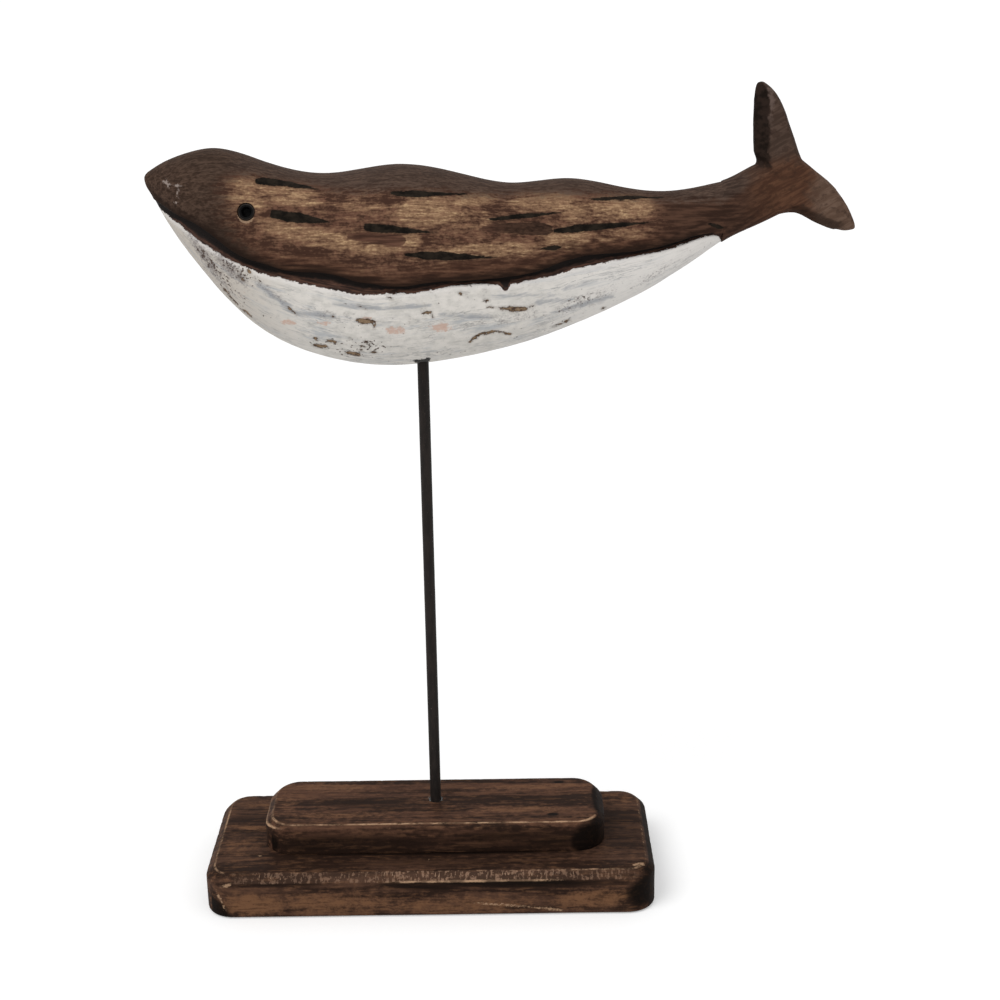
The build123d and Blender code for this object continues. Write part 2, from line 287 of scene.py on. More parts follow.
# Lower edge of the lower fluke, as (x, z), with the height and both ends of its facet
lower_edge = [(130.0, 267.0), (139.0, 267.9), (145.0, 264.8), (151.0, 261.9), (160.0, 261.7)]
lower_facet, facet_start, facet_end = 3.3, 134.5, 153.0
# Heights between which the upper fluke begins, and how far it leans to the nose
fluke_root = (282.0, 290.0)
fluke_lean = 0.75
# Rounded hump between the flukes, and how far the lower fluke hangs and bulges: amount, place and spread
fluke_swell, swell_x, swell_spread = 0.8, 145.5, 5.0
lower_drop, lower_stretch = 0.6, (134.0, 144.0)
lower_belly, bulge_x, bulge_spread = 0.9, 142.0, 5.5
# Stretches over which the flukes turn grey, the facet gets darker and the painted highlight on its ridge
# shows
upper_grey, lower_grey = (278.0, 296.0), (135.0, 151.0)
facet_shade, ridge_highlight_stretch = (274.0, 282.0), (296.0, 308.0)
fluke_grain_angle = 28
# Tip of the lower fluke
tip_start = 151.0
tip_sanding = 60
tip_reach = -0.5
tip_drop = 0.8
# Grid of the carved tail, and knife bites along the facet's border
tail_voxel = 0.5
bite_spacing = 4.4
bite_depth = 0.35

# Base: corner radius, chamfer along front and back, chamfer along the ends, foot ease
board_shape = (11.0, 3.0, 3.4, 1.0)
plinth_shape = (12.0, 1.4, 3.0, 0.3)
# The plinth isn't quite centred on the lower board
board_shift = -1.6
board_seed, plinth_seed = 3.0, 47.0
unevenness, nick_depth = 0.35, 0.4
screw_head_radius, screw_recess, screw_inset = 3.7, 3.6, 3.5
rod_mouth_radius, rod_mouth_depth = 2.9, 1.4
# Torn slivers along the chamfer, from end to end of their row
chatter_pitch, chatter_seed = 1.3, 5
chatter_row = (-70, 62)
sliver_length, sliver_width, sliver_height = 1.8, 0.5, 0.4
# Golden and dark places of the boards: middle, half length, half height or half depth, slope, strength. The
# dark places at the right ends are painted shade.
# Scratches: one end, other end, thickness. Rub: how pale each side's upper edge is, worn and partly painted
# highlight, and one place below it.
# Chatter: marks of the cutter along the front chamfer, and the place where they are busiest.
board_marks = {
    "front_gold": [
        ((-70.0, 6.0), 14.0, 6.0, 0.0, 1.0), ((-40.0, 6.0), 26.0, 6.5, 0.0, 0.75),
        ((10.0, 5.0), 34.0, 5.0, 0.0, 0.7), ((62.0, 6.5), 18.0, 5.0, 0.0, 0.9),
    ],
    "front_dark": [
        ((-86.0, 3.0), 7.0, 6.0, -0.3, 1.1), ((85.0, 10.0), 11.0, 8.0, 0.3, 1.2),
        ((30.0, 14.4), 44.0, 2.6, -0.01, 0.9), ((-5.0, 13.6), 22.0, 2.4, -0.06, 0.8),
        ((-60.0, 15.0), 24.0, 1.4, 0.0, 0.6),
    ],
    "top_gold": [
        ((-78.0, -12.0), 9.0, 8.0, 0.0, 0.45), ((-70.0, 25.0), 16.0, 4.0, 0.0, 0.5),
        ((76.0, 24.0), 9.0, 8.0, 0.0, 0.4), ((-74.0, 4.0), 12.0, 2.0, -0.1, 0.9),
    ],
    "top_dark": [
        ((0.0, -25.5), 80.0, 4.0, 0.0, 0.45), ((-75.0, 12.0), 14.0, 9.0, 0.0, 0.4),
        ((76.0, 0.0), 14.0, 26.0, 0.0, 0.5), ((0.0, -18.6), 72.0, 1.6, 0.0, 0.9),
    ],
    "scratches": [
        ((15.0, 6.0), (51.0, 2.2), 0.5), ((19.0, 5.4), (33.0, 4.4), 0.6), ((40.0, 3.4), (52.0, 1.8), 0.7),
        ((-85.6, 12.6), (-81.6, 3.4), 0.7), ((-83.4, 13.6), (-79.0, 15.2), 0.5),
    ],
    "top_scratches": [
        ((77.6, -29.8), (82.6, -28.0), 1.7), ((-2.6, -23.9), (-1.8, -23.9), 0.7),
        ((5.8, -22.9), (6.6, -22.9), 0.7), ((-71.0, -16.0), (-68.6, -19.6), 0.5),
    ],
    "rub_and_highlight": {"left": 0.75, "right": 0.45, "front": 0.3, "back": 0.4},
    "rub_low_and_highlight": ((14.0, 15.5), 34.0, 8.0, 0.0, 1.0),
    "chatter": 1.0,
    "busy": ((12.0, 17.0), 34.0, 8.0, 0.0, 1.0),
}
plinth_marks = {
    "front_gold": [((-40.0, 24.0), 24.0, 2.0, 0.0, 0.35)],
    "front_dark": [
        ((-30.0, 23.0), 44.0, 6.5, 0.0, 0.6), ((30.0, 23.0), 44.0, 6.5, 0.0, 0.6),
        ((64.0, 23.0), 11.0, 8.0, 0.0, 1.5), ((-66.0, 22.0), 5.0, 5.0, 0.0, 1.0),
    ],
    "top_gold": [
        ((-44.0, 14.0), 20.0, 3.6, -0.05, 0.9), ((40.0, 12.0), 30.0, 3.0, 0.02, 0.7),
        ((36.0, -7.0), 26.0, 3.0, 0.0, 0.75), ((-36.0, -10.0), 26.0, 3.0, 0.0, 0.6),
        ((-60.0, 2.0), 7.0, 10.0, 0.0, 0.5),
    ],
    "top_dark": [
        ((-26.0, 0.0), 26.0, 7.0, -0.02, 0.5), ((30.0, 2.0), 34.0, 4.0, 0.02, 0.45),
        ((50.4, 15.8), 2.4, 1.0, 0.0, 1.4), ((47.2, -11.3), 2.6, 1.2, 0.0, 1.4),
        ((66.0, 2.0), 3.0, 16.0, 0.0, 1.2),
    ],
    "scratches": [],
    "top_scratches": [],
    "rub_and_highlight": {"left": 0.55, "right": 0.1, "front": 0.85, "back": 0.25},
    "rub_low_and_highlight": ((-66.0, 28.0), 6.0, 8.0, 0.0, 0.7),
    "chatter": 0.0,
    "busy": ((0.0, 30.0), 10.0, 8.0, 0.0, 0.0),
}
# Rings of a board's skin where its bottom, foot, side, chamfer and top end
ring_foot, ring_side, ring_chamfer, ring_top, ring_last = 8, 11, 35, 43, 64
points_around_board = 480


# Small helpers for lines and fields

def smooth_line(shares):
    """Smooth line through the given points, as a function: a natural cubic spline."""
    x, y = np.array(shares, float).T
    step = np.diff(x)
    slope = np.diff(y) / step
    system = np.eye(len(x))
    bends = np.zeros(len(x))
    for i in range(1, len(x) - 1):
        system[i, i - 1:i + 2] = step[i - 1], 2 * (step[i - 1] + step[i]), step[i]
        bends[i] = 6 * (slope[i] - slope[i - 1])
    bends = np.linalg.solve(system, bends)

    def line(places):
        """Heights of the line at the given places."""
        i = np.clip(np.searchsorted(x, places) - 1, 0, len(step) - 1)
        t = places - x[i]
        start_slope = slope[i] - step[i] * (2 * bends[i] + bends[i + 1]) / 6
        return y[i] + t * (start_slope + t * (bends[i] / 2 + t * (bends[i + 1] - bends[i]) / (6 * step[i])))

    return line


def ease(value, low, high):
    """Smooth step from 0 at low to 1 at high."""
    t = np.clip((value - low) / (high - low), 0, 1)
    return t * t * (3 - 2 * t)


def bell(value, middle, spread):
    """Bell curve: 1 at the middle, falling to 0 on both sides."""
    return np.exp(-((value - middle) / spread) ** 2)


def rough(points, stretch, shift=0.0):
    """Smooth noise from about -1 to 1 at each point, with its grain size given along each axis."""
    scaled = points / np.array(stretch) + shift
    return np.array([noise.noise(Vector(point)) for point in scaled])


def spindle(t):
    """Profile of a chip: pointed at both ends."""
    return np.sqrt(np.clip(1 - (2 * t - 1) ** 2, 0, 1))


def brush(t, fullness, peak):
    """Profile of a brush stroke: how full it starts and where it is thickest. It thins to its end."""
    rise = fullness + (1 - fullness) * np.clip(t / peak, 0, 1) ** 0.6
    fall = 1 - np.clip((t - peak) / (1 - peak), 0, 1) ** 1.4
    return rise * fall


def smear(t):
    """Profile of a broad smear: ragged at its start, round at its end."""
    return np.minimum(1, 0.45 + 1.2 * t) * np.clip(1 - t ** 14, 0, 1) ** 0.5


def stroke_distance(x, z, strokes, profile):
    """Distance to the nearest stroke, negative inside it."""
    nearest = np.full(x.shape, 50.0)
    for (x0, z0), (x1, z1), thickness, *form in strokes:
        length = math.hypot(x1 - x0, z1 - z0)
        along = ((x - x0) * (x1 - x0) + (z - z0) * (z1 - z0)) / length
        across = ((z - z0) * (x1 - x0) - (x - x0) * (z1 - z0)) / length
        half = thickness / 2 * profile(np.clip(along / length, 0, 1), *form)
        beyond = np.maximum(-along, along - length)
        nearest = np.minimum(nearest, np.maximum(np.abs(across) - half, beyond))
    return nearest


def patch_strength(x, z, patches):
    """How strongly the nearest of some soft oval patches covers each point."""
    strength = np.zeros(x.shape)
    for (x0, z0), half_length, half_height, slope, amount in patches:
        along = (x - x0) / half_length
        across = (z - z0 - slope * (x - x0)) / half_height
        strength = np.maximum(strength, amount * (1 - ease(np.hypot(along, across), 0.35, 1.35)))
    return strength


# Meshes

def skin(rings):
    """Mesh over rings of points, closed round each ring. A ring that shrinks to a point closes its end."""
    count, around = rings.shape[:2]
    index = np.arange(count * around).reshape(count, around)
    following = np.roll(index, -1, axis=1)
    faces = np.stack([index[:-1], following[:-1], following[1:], index[1:]], axis=-1).reshape(-1, 4)
    mesh = bpy.data.meshes.new("skin")
    mesh.from_pydata(rings.reshape(-1, 3).tolist(), [], faces.tolist())
    return mesh


@contextmanager
def editing(mesh):
    """The faces of a mesh to edit, written back at the end."""
    shape = bmesh.new()
    shape.from_mesh(mesh)
    yield shape
    shape.to_mesh(mesh)
    shape.free()


def closed_ends(rings):
    """Rings with one more at each end, shrunk to its middle."""
    first = np.broadcast_to(rings[:1].mean(axis=1, keepdims=True), rings[:1].shape)
    last = np.broadcast_to(rings[-1:].mean(axis=1, keepdims=True), rings[-1:].shape)
    return np.concatenate([first, rings, last])


def solid_skin(rings):
    """Mesh over rings with closed ends, its faces turned outwards."""
    mesh = skin(closed_ends(rings))
    with editing(mesh) as shape:
        tidy_mesh(shape)
    return mesh


def turned_rings(profile, sides):
    """Rings of points round the Z axis for a profile of radii and heights."""
    turn = np.linspace(0, 2 * math.pi, sides, endpoint=False)
    radius, height = np.array(profile, float).T[:, :, None]
    return np.stack(np.broadcast_arrays(radius * np.cos(turn), radius * np.sin(turn), height), axis=-1)


def mesh_points(mesh):
    """Places of a mesh's points, one row each."""
    points = np.empty(len(mesh.vertices) * 3)
    mesh.vertices.foreach_get("co", points)
    return points.reshape(-1, 3)


def add_fields(mesh, fields):
    """Store named numbers at the points of a mesh, for its material to read."""
    for name, values in fields.items():
        values = np.asarray(values, float)
        kind = "FLOAT_VECTOR" if values.ndim == 2 else "FLOAT"
        attribute = mesh.attributes.new(name, kind, "POINT")
        attribute.data.foreach_set("vector" if values.ndim == 2 else "value", values.ravel())


def tidy_mesh(shape):
    """Close poles and turn all faces outwards."""
    bmesh.ops.remove_doubles(shape, verts=shape.verts, dist=1e-4)
    bmesh.ops.dissolve_degenerate(shape, edges=shape.edges, dist=1e-5)
    bmesh.ops.recalc_face_normals(shape, faces=shape.faces)


def drill(shape, mouth, axis, radius, reach):
    """Open a round hole in a skin near its mouth, and return the edges of its rim."""
    mouth, axis = Vector(mouth), Vector(axis).normalized()

    def spread(point):
        """Way from the hole's axis to a point."""
        offset = point - mouth
        return offset - axis * offset.dot(axis)

    inside = [
        vert for vert in shape.verts
        if abs((vert.co - mouth).dot(axis)) < reach and spread(vert.co).length < radius
    ]
    bmesh.ops.delete(shape, geom=inside, context="VERTS")
    rim_width = 4
    rim = [
        edge for edge in shape.edges
        if edge.is_boundary and abs((edge.verts[0].co - mouth).dot(axis)) < reach
        and spread(edge.verts[0].co).length < radius + rim_width
    ]
    for vert in {vert for edge in rim for vert in edge.verts}:
        outward = spread(vert.co)
        vert.co += outward.normalized() * radius - outward
    return rim


def sink(shape, rim, way):
    """Carry the rim of a hole inwards and close its floor."""
    walls = bmesh.ops.extrude_edge_only(shape, edges=rim)["geom"]
    for vert in (part for part in walls if isinstance(part, bmesh.types.BMVert)):
        vert.co += Vector(way)
    floor = [part for part in walls if isinstance(part, bmesh.types.BMEdge) and part.is_boundary]
    bmesh.ops.edgeloop_fill(shape, edges=floor)


def new_object(name, data):
    """Object in the scene that holds a mesh, a lamp or a camera."""
    made = bpy.data.objects.new(name, data)
    bpy.context.scene.collection.objects.link(made)
    return made


def make_object(name, mesh, material, smooth_angle):
    """Object of a mesh in millimetres, brought to metres, with a finish."""
    mesh.transform(Matrix.Scale(MM, 4))
    return place_object(name, mesh, material, smooth_angle)


def place_object(name, mesh, material, smooth_angle):
    """Object of a mesh that is already in metres."""
    mesh.name = name
    if not mesh.materials:
        mesh.materials.append(material)
    mesh.shade_smooth()
    mesh.set_sharp_from_angle(angle=math.radians(smooth_angle))
    return new_object(name, mesh)


def evaluated_mesh(piece):
    """Plain mesh of an object with its modifiers applied. The object itself is removed."""
    bpy.context.view_layer.update()
    depsgraph = bpy.context.evaluated_depsgraph_get()
    mesh = bpy.data.meshes.new_from_object(piece.evaluated_get(depsgraph))
    bpy.data.objects.remove(piece)
    return mesh


# Node expressions

class Wire:
    """A node socket that takes part in Python arithmetic. Each operation adds a Math node."""

    def __init__(self, tree, socket=None):
        self.tree = tree
        self.socket = socket

    def node(self, kind, settings=None, inputs=None, output=0):
        """Add a node of any type: its settings first, then the values or links of its sockets."""
        made = self.tree.nodes.new(kind)
        for name, value in (settings or {}).items():
            setattr(made, name, value)
        for key, value in (inputs or {}).items():
            if isinstance(value, Wire):
                self.tree.links.new(value.socket, made.inputs[key])
            else:
                made.inputs[key].default_value = value
        return Wire(self.tree, made.outputs[output] if made.outputs else None)

    def math(self, operation, first, second=0.0):
        """Add a Math node."""
        return self.node("ShaderNodeMath", {"operation": operation}, {0: first, 1: second})

    def sway(self, amount):
        """Noise from 0 to 1, made to swing about zero by half the amount either way."""
        return (self - 0.5) * amount

    def __add__(self, other):
        return self.math("ADD", self, other)

    def __sub__(self, other):
        return self.math("SUBTRACT", self, other)

    def __mul__(self, other):
        return self.math("MULTIPLY", self, other)

    def __truediv__(self, other):
        return self.math("DIVIDE", self, other)

    def __rsub__(self, other):
        return self.math("SUBTRACT", other, self)

    def __abs__(self):
        return self.math("ABSOLUTE", self)

    __radd__ = __add__
    __rmul__ = __mul__


def larger(first, second):
    """The larger of a wire and a wire or number."""
    return first.math("MAXIMUM", first, second)


def smaller(first, second):
    """The smaller of a wire and a wire or number."""
    return first.math("MINIMUM", first, second)


def between(value, low, high):
    """Smooth step of a wire from 0 at low to 1 at high."""
    inputs = {"Value": value, "From Min": low, "From Max": high}
    return value.node("ShaderNodeMapRange", {"interpolation_type": "SMOOTHSTEP"}, inputs)


def mixed(factor, first, second):
    """Colour that goes from the first to the second with the factor."""
    return factor.node("ShaderNodeMix", {"data_type": "RGBA"}, {0: factor, 6: first, 7: second}, output=2)


def grains(vector, stretch, detail, roughness, swirl=0.0):
    """Noise from 0 to 1 over a vector whose parts are first multiplied by the stretch."""
    vector = vector.node("ShaderNodeVectorMath", {"operation": "MULTIPLY"}, {0: vector, 1: stretch})
    inputs = {"Vector": vector, "Scale": 1.0, "Detail": detail, "Roughness": roughness, "Distortion": swirl}
    return vector.node("ShaderNodeTexNoise", {}, inputs)


def split(vector):
    """The three parts of a vector."""
    parts = vector.node("ShaderNodeSeparateXYZ", {}, {0: vector})
    return [Wire(vector.tree, socket) for socket in parts.socket.node.outputs]


def tone(red, green, blue):
    """Linear colour of a shade that is given as it shows on a screen, each part from 0 to 255."""
    parts = [part / 255 for part in (red, green, blue)]
    linear = [part / 12.92 if part <= 0.04045 else ((part + 0.055) / 1.055) ** 2.4 for part in parts]
    return (*linear, 1.0)


def cleared(holder):
    """Root of the nodes of a material or world, with none left."""
    holder.use_nodes = True
    holder.node_tree.nodes.clear()
    return Wire(holder.node_tree)


def new_finish(name):
    """Empty material, the root of its nodes and the place on the piece in millimetres."""
    material = bpy.data.materials.new(name)
    root = cleared(material)
    place = root.node("ShaderNodeTexCoord", output="Object")
    place = root.node("ShaderNodeVectorMath", {"operation": "SCALE"}, {0: place, "Scale": 1 / MM})
    return material, root, place


def field(root, name, output="Fac"):
    """Number that a mesh stores at its points."""
    return root.node("ShaderNodeAttribute", {"attribute_name": name}, output=output)


def finish(root, colour, roughness, height, relief, gloss=0.5, metallic=0.0):
    """Close a material: its colour and roughness, the height of its relief and its depth in millimetres."""
    bump = root.node("ShaderNodeBump", {}, {"Height": height, "Distance": relief * MM, "Strength": 1.0})
    shader = root.node("ShaderNodeBsdfPrincipled", {}, {
        "Base Color": colour, "Roughness": roughness, "Normal": bump,
        "Specular IOR Level": gloss, "Metallic": metallic,
    })
    root.node("ShaderNodeOutputMaterial", {}, {"Surface": shader})


# Finishes

dull_gloss = 0.03


def streaky(fibre, dark, light):
    """Two-tone wood that follows its fibres."""
    return mixed(between(fibre, 0.38, 0.64), dark, light)


def end_wood(fibre):
    """Brown wood on both sides of the tail joint."""
    return streaky(fibre, tone(52, 36, 29), tone(84, 60, 48))


def crown_stain_and_sheen(fibre):
    """Greyer stain along the crown, its grey partly a painted sheen where the crown rounds over."""
    return streaky(fibre, tone(57, 45, 39), tone(87, 71, 62))


def back_finish():
    """Dark stained wood of the back, rubbed through to pale wood, with burnt strokes."""
    material, root, place = new_finish("stained_back")
    x, _, z = split(place)
    fibre = grains(place, (0.07, 0.85, 0.85), 3.0, 0.55)
    thread = grains(place, (0.16, 1.5, 1.5), 2.0, 0.6)
    cloud = grains(place, (0.035, 0.09, 0.09), 3.0, 0.6)
    mottle = grains(place, (0.3, 0.45, 0.45), 3.0, 0.6)
    speck = grains(place, (1.2, 1.3, 1.3), 2.0, 0.6)
    pore = grains(place, (0.55, 1.7, 1.7), 2.0, 0.6)
    hem = field(root, "hem")
    worn = field(root, "worn")
    bared = between(worn + cloud.sway(0.6) + mottle.sway(0.6) + fibre.sway(0.9), 0.0, 1.05)
    wear = 0.05 + bared * 0.56 + cloud.sway(0.6) + fibre.sway(0.8)
    wear = wear + thread.sway(1.0) + pore.sway(1.0) + mottle.sway(0.9) + speck.sway(0.6)
    colour = mixed(between(wear, -0.1, 0.3), tone(66, 45, 36), tone(102, 75, 59))
    colour = mixed(between(wear, 0.25, 0.65), colour, tone(138, 108, 83))
    colour = mixed(between(wear, 0.6, 1.05), colour, tone(190, 158, 121))
    colour = mixed(between(mottle + cloud.sway(0.8), 0.5, 0.66) * 0.35, colour, tone(120, 84, 68))
    ruddy = between(hem + cloud.sway(7.0) + fibre.sway(5.0), 9.0, 3.0)
    colour = mixed(ruddy * 0.75, colour, streaky(fibre, tone(58, 38, 30), tone(96, 67, 52)))
    rump = between(field(root, "rump") + fibre.sway(16.0) + cloud.sway(16.0), -6.0, 7.0)
    colour = mixed(rump, colour, end_wood(fibre))
    crown = between(field(root, "crown") + fibre.sway(5.0) + pore.sway(5.0) + mottle.sway(5.0), -2.0, 2.0)
    grain = fibre * 0.5 + pore * 0.5
    # Crown: greyer stain, partly painted sheen.
    colour = mixed(crown * 0.92, colour, crown_stain_and_sheen(grain))
    head = between(field(root, "head") + fibre.sway(16.0) + cloud.sway(16.0) + mottle.sway(16.0), -6.0, 6.0)
    colour = mixed(head * 0.94, colour, streaky(grain, tone(50, 38, 31), tone(82, 65, 55)))
    # Painted shade: the lower part of the head darkens downwards.
    colour = mixed(head * between(z, *head_painted_shade) * 0.75, colour, tone(36, 27, 22))
    smears = between(field(root, "smear") + thread.sway(1.6) + fibre.sway(1.0), 0.2, -0.25)
    thin = streaky(fibre, tone(62, 42, 34), tone(98, 69, 56))
    smeared = mixed(between(x, *smear_shade), thin, streaky(grain, tone(36, 26, 21), tone(66, 48, 39)))
    colour = mixed(smears * 0.9, colour, smeared)
    stroke = field(root, "stroke") + speck.sway(0.45) + thread.sway(0.7)
    strokes = between(stroke, 0.1, -0.14)
    colour = mixed(between(stroke, 0.7, 0.1) * 0.35, colour, tone(70, 52, 42))
    colour = mixed(strokes, colour, mixed(between(mottle, 0.36, 0.64), tone(20, 17, 14), tone(40, 34, 28)))
    # Darker just above the lip over the last stretch before the tail joint.
    dark_above_lip = between(hem + fibre.sway(4.0), 4.2, 0.4) * between(x, tail_joint_x - 2.0, tail_joint_x - 14.0)
    colour = mixed(dark_above_lip * 0.85, colour, tone(36, 26, 21))
    rim = field(root, "socket") + speck.sway(0.5)
    colour = mixed(between(rim, 3.46, 3.3) * 0.6, colour, tone(172, 144, 118))
    scuffs = between(field(root, "scuff") + speck.sway(2.6) + mottle.sway(1.6), 0.25, -0.35)
    colour = mixed(scuffs * 0.55, colour, tone(182, 168, 160))
    height = fibre * 0.6 + thread * 0.4 - strokes * 0.4
    finish(root, colour, 0.6 + 0.2 * fibre, height, relief=0.14, gloss=dull_gloss)
    return material


def belly_finish():
    """Rubbed white paint of the belly over brown wood, with chips, washes and a raw upper edge, with painted
    shade in the groove, at the rod's mouth and towards the keel, a painted highlight along the paint's edge
    and painted light towards the tail.
    """
    material, root, place = new_finish("white_belly")
    x, _, _ = split(place)
    flow = field(root, "flow", "Vector")
    streak = grains(flow, (0.04, 0.36, 1.0), 4.0, 0.6, 0.5)
    hair = grains(flow, (0.15, 1.6, 1.0), 3.0, 0.6, 0.3)
    cloud = grains(flow, (0.035, 0.1, 1.0), 3.0, 0.6)
    mottle = grains(place, (0.25, 0.35, 0.35), 4.0, 0.65)
    speck = grains(place, (1.5, 1.5, 1.5), 3.0, 0.65)
    grit = grains(place, (0.5, 0.5, 0.5), 4.0, 0.7)
    dots = grains(place, (0.9, 1.0, 1.0), 1.0, 0.4)
    paint = field(root, "paint")
    rubbed = field(root, "rubbed")
    white = mixed(between(mottle, 0.36, 0.64), tone(229, 224, 217), tone(213, 209, 202))
    white = mixed(between(x + mottle.sway(30.0), *belly_grey) * 0.8, white, tone(191, 182, 171))
    # Painted light: the white goes paler towards the tail.
    white = mixed(between(x + mottle.sway(30.0), *belly_painted_light) * 0.8, white, tone(237, 233, 228))
    here = between(cloud + rubbed * 0.12, 0.45, 0.58)
    wisps = between(streak + hair.sway(0.3), 0.5, 0.64) * here * (1 - 0.45 * between(x, *belly_calm))
    white = mixed(wisps * 0.55, white, tone(158, 166, 175))
    veins = between(abs(streak - 0.5), 0.018, 0.004) * here
    white = mixed(veins * 0.5, white, tone(112, 114, 118))
    wash = field(root, "wash") + streak.sway(5.0) + mottle.sway(3.0) + hair.sway(2.0)
    white = mixed(between(wash, 1.0, -0.5) * 0.65, white, tone(134, 140, 149))
    white = mixed(between(hair + mottle.sway(0.4), 0.56, 0.7) * 0.3, white, tone(152, 150, 147))
    # Painted shade: the white greys towards the keel.
    white = mixed(field(root, "low") * 0.2, white, tone(186, 184, 178))
    # Painted highlight along the upper edge of the white, where the thick paint edge catches the light.
    white = mixed(between(paint + speck.sway(0.8), 2.4, 0.5) * 0.6, white, tone(231, 226, 222))
    worn = between(rubbed * 0.9 + mottle.sway(1.2) + speck.sway(2.0) + grit.sway(1.8), 0.25, 1.25)
    white = mixed(worn * 0.75, white, tone(106, 97, 98))
    peach = between(field(root, "peach") + speck.sway(1.2) + grit.sway(2.2) + hair.sway(1.2), 0.4, 1.0)
    white = mixed(peach * 0.75, white, tone(206, 170, 151))
    chip = field(root, "chip") + speck.sway(1.2) + grit.sway(1.9)
    bare = mixed(between(chip + grit.sway(2.4), -0.75, -0.05), tone(144, 121, 96), tone(76, 59, 48))
    pits = between(dots + field(root, "pits") * 0.16, 0.76, 0.8)
    flecks = between(grit * 0.7 + rubbed * 0.22 + speck.sway(0.35), 0.6, 0.67)
    chipped = larger(between(chip, 0.08, -0.14), larger(pits, flecks) * 0.85)
    colour = mixed(between(chip, 0.9, 0.05) * 0.35, white, tone(156, 148, 140))
    colour = mixed(chipped, colour, bare)
    edge = paint + speck.sway(1.2) + grit.sway(1.6)
    painted = between(edge, -0.1, 0.14)
    fibres = streaky(hair, tone(40, 27, 22), tone(94, 66, 54))
    # Painted shadow: the raw band goes near black towards the lip, as the groove's shade under the overhang.
    shade = between(field(root, "band") + hair.sway(0.5) + grit.sway(0.4), 0.4, 0.58)
    raw_wood_and_groove_shade = mixed(shade * 0.95, fibres, tone(15, 11, 9))
    colour = mixed(painted, raw_wood_and_groove_shade, colour)
    # Near black at the rod's mouth: missing paint, with painted shade in the gap round the rod and over the
    # chip.
    mouth = between(field(root, "mouth") + speck.sway(1.6) + grit.sway(2.0), 0.15, -0.15)
    colour = mixed(mouth * 0.95, colour, tone(11, 9, 8))
    covered = painted * (1 - chipped) * (1 - mouth)
    height = covered * 0.8 + hair * 0.2 + mottle * 0.3 + speck * 0.12 - wisps * 0.1
    finish(root, colour, 0.8 - 0.15 * covered, height, relief=0.24, gloss=0.2)
    return material


def tail_finish():
    """Dark reddish wood of the tail, greyer on the flukes, with dark cut facets and a painted highlight along
    the upper facet's ridge.
    """
    material, root, place = new_finish("stained_tail")
    x, _, z = split(place)
    slanted = root.node("ShaderNodeMapping", {}, {
        "Vector": place, "Rotation": (0.0, math.radians(fluke_grain_angle), 0.0),
    })
    straight = grains(place, (0.07, 0.85, 0.85), 3.0, 0.55)
    slant = grains(slanted, (0.08, 0.8, 0.8), 3.0, 0.55)
    away = between(x, tail_joint_x + 1.0, tail_joint_x + 14.0)
    fibre = straight * (1 - away) + slant * away
    thread = grains(place, (0.13, 1.15, 1.15), 3.0, 0.6)
    mottle = grains(place, (0.3, 0.45, 0.45), 3.0, 0.6)
    cloud = grains(place, (0.08, 0.08, 0.08), 3.0, 0.6)
    speck = grains(place, (1.2, 1.3, 1.3), 2.0, 0.6)
    facet = field(root, "facet")
    crown = between(field(root, "crown") + fibre.sway(4.0) + thread.sway(3.0), -1.5, 1.5)
    # Crown near the joint: greyer stain, partly painted sheen.
    colour = mixed(crown * 0.92, end_wood(fibre), crown_stain_and_sheen(fibre))
    ruddy = between(x + cloud.sway(24.0) + mottle.sway(10.0), tail_joint_x + 4.0, tail_joint_x + 20.0)
    colour = mixed(ruddy * 0.85, colour, streaky(fibre, tone(75, 50, 38), tone(96, 66, 49)))
    upper = between(field(root, "upper") + cloud.sway(1.0) + mottle.sway(0.6), 0.15, 0.85)
    colour = mixed(upper * 0.9, colour, streaky(fibre, tone(64, 51, 44), tone(82, 67, 59)))
    lower = between(field(root, "lower") + cloud.sway(1.0) + mottle.sway(0.6), 0.15, 0.85)
    colour = mixed(lower * 0.9, colour, streaky(fibre, tone(93, 73, 61), tone(112, 91, 78)))
    colour = mixed(between(mottle + fibre.sway(0.6), 0.52, 0.68) * 0.5, colour, tone(48, 34, 28))
    cut = between(facet + speck.sway(0.9) + mottle.sway(2.6), -0.8, 0.5)
    depth = 0.62 + 0.3 * between(z, *facet_shade)
    colour = mixed(cut * depth, colour, streaky(mottle, tone(20, 15, 12), tone(43, 33, 28)))
    # Painted highlight along the ridge at the facet's border.
    ridge_highlight = between(abs(facet + 0.9) + mottle.sway(5.0), 1.0, 0.1) * between(z, *ridge_highlight_stretch)
    colour = mixed(ridge_highlight * 0.4, colour, tone(122, 105, 98))
    height = fibre * 0.5 + mottle * 0.3 + thread * 0.2
    finish(root, colour, 0.6 + 0.2 * fibre, height, relief=0.16, gloss=dull_gloss)
    return material


